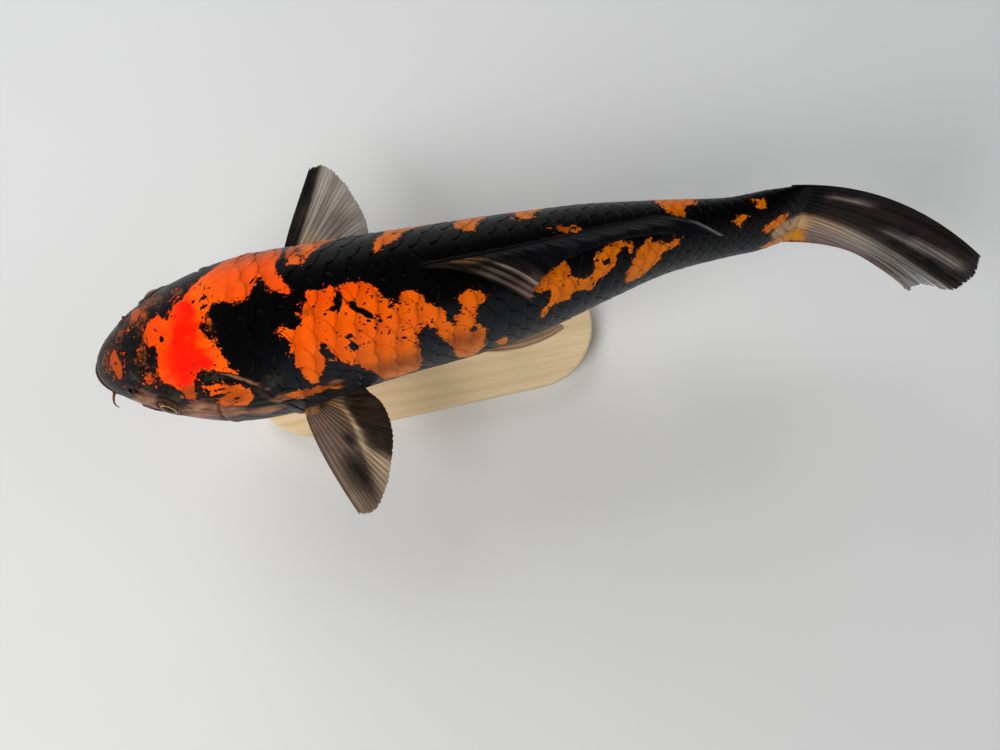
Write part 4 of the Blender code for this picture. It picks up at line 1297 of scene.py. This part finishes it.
def paint_tail(x, t):
    """A dark upper band with two faint streaks, then cream streaks that grey and part as they fan out, then rose."""
    pale = 0.42 * hump(x - 0.135 + 0.12 * t, 0.030) * ease((t - 0.06) / 0.16) * ease((0.48 - t) / 0.22)
    pale = pale + 0.38 * hump(x - 0.37 + 0.22 * t, 0.040) * ease((t - 0.40) / 0.25) * ease((1.02 - t) / 0.14)
    middle = ease((x - 0.38 + 0.08 * t) / 0.10)
    fine = 0.5 + 0.5 * np.sin(x * 190 + 5 * t)
    broad = 0.5 + 0.5 * np.sin(x * 62 + 3.0 * t + 0.6)
    near = 0.52 + 0.22 * fine - 0.20 * ease((x - 0.62) / 0.2)
    far = 0.18 + 0.34 * broad + 0.12 * fine
    light = 0.03 + pale + middle * (near + (far - near) * ease((t - 0.35) / 0.35))
    warm = 0.70 * ease((x - 0.36) / 0.10) * ease((0.16 - t) / 0.12) * ease((0.75 - x) / 0.1)
    warm = warm + 0.22 * hump(x - 0.52, 0.12) * ease((0.75 - t) / 0.4)
    rosy = 0.65 * ease((x - 0.60) / 0.15) * ease((t - 0.06) / 0.1) * ease((0.95 - t) / 0.3) + 0.5 * hump(x - 0.12, 0.06)
    clear = 0.05 + 0.16 * middle + (0.15 + 0.30 * middle) * ease((t - 0.78) / 0.22)
    return {"light": light, "warm": warm, "rosy": rosy, "clear": clear, "brown": 0.25}


def paint_pelvic(x, t):
    """Pale throughout, warm at the root."""
    return {"light": 1.0, "warm": 0.60 - 0.25 * t, "rosy": 0.10, "clear": 0.12, "brown": 0.5}


def paint_anal(x, t):
    """Dark and rosy, with a paler front edge."""
    return {"light": 0.22 + 0.3 * hump(x - 0.05, 0.1), "warm": 0.0, "rosy": 0.5, "clear": 0.2, "brown": 0.4}


def base_along(fin, side=1):
    """For a fin, a function from a share of its root to the place on the body where that ray starts."""

    def base_of(spread):
        found = evenly(roots_on(fin, side), np.clip(spread, 0, 1))
        return found[..., 0], FLAT.round(found[..., 0], found[..., 1])

    return base_of


def tail_base(spread):
    """The left side of the stalk's end, from the back to the belly."""
    end = np.full(spread.shape, 0.999)
    return end, -FLAT.half(end) * (0.04 + 0.92 * spread)


def add_fins(material):
    """Every fin, by the node that it takes the place of."""
    pieces = {}

    def add(node, name, fin, *looks, **habit):
        pieces[node] = add_fin(name, fin, material, *looks, **habit)

    add("fin_dorsal", "dorsal_fin", placed_fin(DORSAL), 21, paint_dorsal, base_along(DORSAL), plain=3,
        ripple=0.0006, rows=40, inward=0.06, seed=3)
    add("fin_anal", "anal_fin", placed_fin(ANAL), 9, paint_anal, base_along(ANAL), plain=2, rows=36, inward=0.07,
        seed=4)
    parting = TAIL_PARTING / 10
    for lobe, start, end, crowd, seed in (("upper", 0, 0.5 - parting, 0.5, 5), ("lower", 0.5 + parting, 1, -0.3, 6)):
        add(f"fin_tail_{lobe}", f"tail_fin_{lobe}", TAIL, 10, paint_tail, tail_base, start, end, rows=60,
            inward=0.06, ripple=0.0006, ragged=0.012, fleshy=0.24, crowd=crowd, seed=seed)
    for name, side in SIDES.items():
        paint = paint_left_pectoral if side < 0 else paint_right_pectoral
        add(f"fin_pectoral_{name}", f"pectoral_fin_{name}", placed_fin(PECTORAL, side, PECTORAL_SWEEP[name]), 16,
            paint, base_along(PECTORAL, side), rows=48, inward=0.03, ragged=0.014, fleshy=0.16, seed=7)
        add(f"fin_pelvic_{name}", f"pelvic_fin_{name}", placed_fin(PELVIC, side), 9, paint_pelvic,
            base_along(PELVIC, side), rows=40, inward=0.04, seed=8)
    return pieces


# ---- eyes and barbels


def dome(name, centre, out, radius, material, rings=40, around=64):
    """An eyeball seen along its axis, swollen a little in front. It is closed by a small flat behind."""
    side = np.cross(out, (0, 0, 1))
    side /= np.linalg.norm(side)
    up = np.cross(side, out)
    polar = (EYE_CLOSES * np.arange(1, rings + 1) / rings)[:, None]
    turn = circle(around)[None, :]
    r = radius * (1 + EYE_BULGE * hump(polar, 0.5)) * np.ones_like(turn)
    flat = np.cos(turn)[..., None] * side + np.sin(turn)[..., None] * up
    ball = centre + r[..., None] * (np.cos(polar)[..., None] * out + np.sin(polar)[..., None] * flat)
    front = centre + radius * (1 + EYE_BULGE) * out
    behind = centre + radius * math.cos(EYE_CLOSES) * out
    points = np.concatenate([ball.reshape(-1, 3), [front, behind]])
    fields = {
        "ring": np.append((polar / math.pi * np.ones_like(turn)).ravel(), (0.0, EYE_CLOSES / math.pi)),
        "fan": np.append((turn / 6.3 * np.ones_like(polar)).ravel(), (0.0, 0.0)),
    }
    return add_mesh(name, points, ball_faces(rings, around), material, fields)


def add_eyes(material):
    """Both eyeballs, by side."""
    pieces = {}
    place, angle = EYE_AT
    for name, side in SIDES.items():
        out = body_normal(place, side * angle)
        centre = metres(body_surface(place, side * angle) - out * (EYE_RADIUS - EYE_STANDS_OUT))
        pieces[name] = dome(f"eyeball_{name}", centre, out, EYE_RADIUS * BODY_LENGTH, material)
    return pieces


def add_barbel(name, side, root, bend, tip, radius, material, around=16):
    """A tapered feeler that bends down and outwards."""
    place, angle = root
    normal = body_normal(place, side * angle)
    start = body_surface(place, side * angle) + normal * FIN_CLEAR
    bend, tip = np.array(bend) * (1, side, 1), np.array(tip) * (1, side, 1)
    t = np.linspace(-0.12, 1, 34)[:, None]
    path = np.where(t < 0, t * (0.03 * normal + 0.8 * bend), 2 * t * (1 - t) * bend + t * t * tip)
    path = metres(start + path)
    thick = radius * BODY_LENGTH * (1 - (1 - BARBEL_TIP) * np.clip(t, 0, 1) ** 0.8)
    thick = thick * (1 + 0.05 * np.sin(t * 70)) * (1 + 0.5 * hump(t + 0.02, 0.10))
    thick[-3:, 0] *= (0.86, 0.62, 0.25)
    ahead = np.gradient(path, axis=0)
    ahead /= np.linalg.norm(ahead, axis=1, keepdims=True)
    across = np.cross(ahead, (1.0, 0.0, 0.3))
    across /= np.linalg.norm(across, axis=1, keepdims=True)
    over = np.cross(ahead, across)
    turn = circle(around)[None, :, None]
    ring = np.cos(turn) * across[:, None] + np.sin(turn) * over[:, None]
    points = (path[:, None] + ring * thick[:, None]).reshape(-1, 3)
    fields = {"reach": np.repeat(np.clip(t, 0, 1), around)}
    return add_mesh(name, points, tube_faces(len(path), around), material, fields)


def add_barbels(material):
    """The feelers that leave the upper lip and the corners of the mouth, by node."""
    pieces = {}
    for size, (root, bend, tip, radius) in BARBELS.items():
        for name, side in SIDES.items():
            piece = add_barbel(f"feeler_{size}_{name}", side, root, bend, tip, radius, material)
            pieces[f"barbel_{size}_{name}"] = piece
    return pieces


# ---- stand


def add_base(material):
    """A rounded slab of ash, its edges eased."""
    low, high = np.array(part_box("stand_base"))
    turns = np.radians([first + 90 * k / 24 for first in (0, 90, 180, 270) for k in range(25)])
    out = np.stack([np.cos(turns), np.sin(turns)], axis=-1)
    corners = np.repeat(((1, 1), (-1, 1), (-1, -1), (1, -1)), 25, axis=0)
    outline = corners * (high[:2] - BASE_CORNER) + BASE_CORNER * out
    rings = []
    for level, sign in ((low[2] + BASE_EDGE, 1), (high[2] - BASE_EDGE, -1)):
        for turn in np.linspace(0, math.pi / 2, 7)[::sign]:
            ring = outline - out * BASE_EDGE * (1 - math.sin(turn))
            rings.append(np.column_stack([ring, np.full(len(ring), level - sign * BASE_EDGE * math.cos(turn))]))
    points = np.concatenate(rings)
    base = add_mesh("base", points, tube_faces(len(rings), len(outline)), material)
    base.data.set_sharp_from_angle(angle=math.radians(50))
    return base


def add_rod(name, material, around=48):
    """A turned rod with a foot and a small fillet above it."""
    low, high = np.array(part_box(name))
    x, y, _ = (low + high) / 2
    bottom, top = low[2], high[2]
    foot = (high[0] - low[0]) / 2
    foot_top = bottom + ROD_FOOT_HEIGHT
    turns = np.linspace(0, math.pi / 2, 6)
    cosines, sines = 1 - np.cos(turns), 1 - np.sin(turns)
    profile = np.concatenate([
        [(foot - 0.0003, bottom), (foot, bottom + 0.0003)],
        np.stack([foot - ROD_CHAMFER * cosines, foot_top - ROD_CHAMFER * sines], axis=-1),
        np.stack([ROD_RADIUS + ROD_FILLET * sines, foot_top + ROD_FILLET * cosines], axis=-1),
        [(ROD_RADIUS, top - ROD_CHAMFER), (ROD_RADIUS - ROD_CHAMFER, top)],
    ])
    points = np.array([(x + r * math.cos(a), y + r * math.sin(a), z) for r, z in profile for a in circle(around)])
    rod = add_mesh(name.replace("stand_", ""), points, tube_faces(len(profile), around), material)
    rod.data.set_sharp_from_angle(angle=math.radians(40))
    return rod


# ---- studio


def add_floor():
    """A square of floor, far larger than the stand."""
    corners = FLOOR_REACH * np.array([(-1, -1, 0), (1, -1, 0), (1, 1, 0), (-1, 1, 0)])
    floor = add_mesh("floor", corners, [(0, 1, 2, 3)], floor_finish())


def aim(thing, place, direction):
    """Puts a light or the camera in place, looking in a direction."""
    thing.location = place
    thing.rotation_euler = direction.to_track_quat("-Z", "Y").to_euler()
    bpy.context.scene.collection.objects.link(thing)


def add_light(name, place, size, power, colour, sheen):
    lamp = bpy.data.lights.new(name, "AREA")
    lamp.shape = "RECTANGLE"
    lamp.size, lamp.size_y = size
    lamp.energy = power
    lamp.color = colour
    light = bpy.data.objects.new(name, lamp)
    light.visible_glossy = sheen
    aim(light, place, Vector(LIGHTS_AIM) - Vector(place))


def light_studio():
    """Broad soft lights that give no sheen, so that the back stays deep in colour, low ones that do, and pale air."""
    for light in LIGHTS:
        add_light(*light)
    air = Finish("studio", "worlds")
    upward = air.node("ShaderNodeTexCoord", out="Generated")
    rise = air.node("ShaderNodeSeparateXYZ", {}, {0: upward}, out="Z")
    stops = ((0.05, tint("cccfd2")), (0.55, tint("2c2d2f")))
    colour = air.node("ShaderNodeValToRGB", {"stops": stops}, {"Fac": rise})
    glow = air.node("ShaderNodeBackground", {}, {"Color": colour, "Strength": 0.60})
    air.node("ShaderNodeOutputWorld", {}, {"Surface": glow})
    bpy.context.scene.world = air.owner
    bpy.context.scene.view_settings.view_transform = "Standard"


def add_camera():
    """Almost straight above the fish, a little to its left."""
    level = math.cos(CAMERA_RISE)
    look = Vector((-math.sin(CAMERA_TURN) * level, math.cos(CAMERA_TURN) * level, -math.sin(CAMERA_RISE)))
    lens = bpy.data.cameras.new("camera")
    lens.lens = CAMERA_LENS
    lens.clip_start = 0.01
    camera = bpy.data.objects.new("camera", lens)
    aim(camera, Vector(metres(CAMERA_AIM)) - look * CAMERA_AWAY * BODY_LENGTH, look)
    bpy.context.scene.camera = camera


# ---- the model


def settle(piece, slot, *nodes):
    """Puts a piece into the model: it rides on the one body and takes the place of these nodes. Its slot is not used.
    """
    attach(piece, "root")
    if nodes:
        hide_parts(*nodes)


def main():
    add_camera()
    settle(add_skin(skin_finish()), "bare_skin", "head", "lower_jaw", "gill_cover_left", "gill_cover_right",
           "trunk_front", "trunk_rear", "tail_stalk")
    places = scale_places(np.random.default_rng(SCALE_SEED))
    coat = scale_finish()
    for name, side in SIDES.items():
        settle(add_scales(f"scales_{name}", side, places, coat), "scaled_skin")
    for node, fin in add_fins(fin_finish()).items():
        settle(fin, "fin", node)
    for name, ball in add_eyes(eye_finish()).items():
        settle(ball, "eye", f"eye_{name}")
    for node, barbel in add_barbels(barbel_finish()).items():
        settle(barbel, "bare_skin", node)
    settle(add_base(ash_finish()), "base_wood", "stand_base")
    steel = steel_finish()
    for node in ("stand_rod_front", "stand_rod_rear"):
        settle(add_rod(node, steel), "rod_steel", node)
    add_floor()
    light_studio()


main()
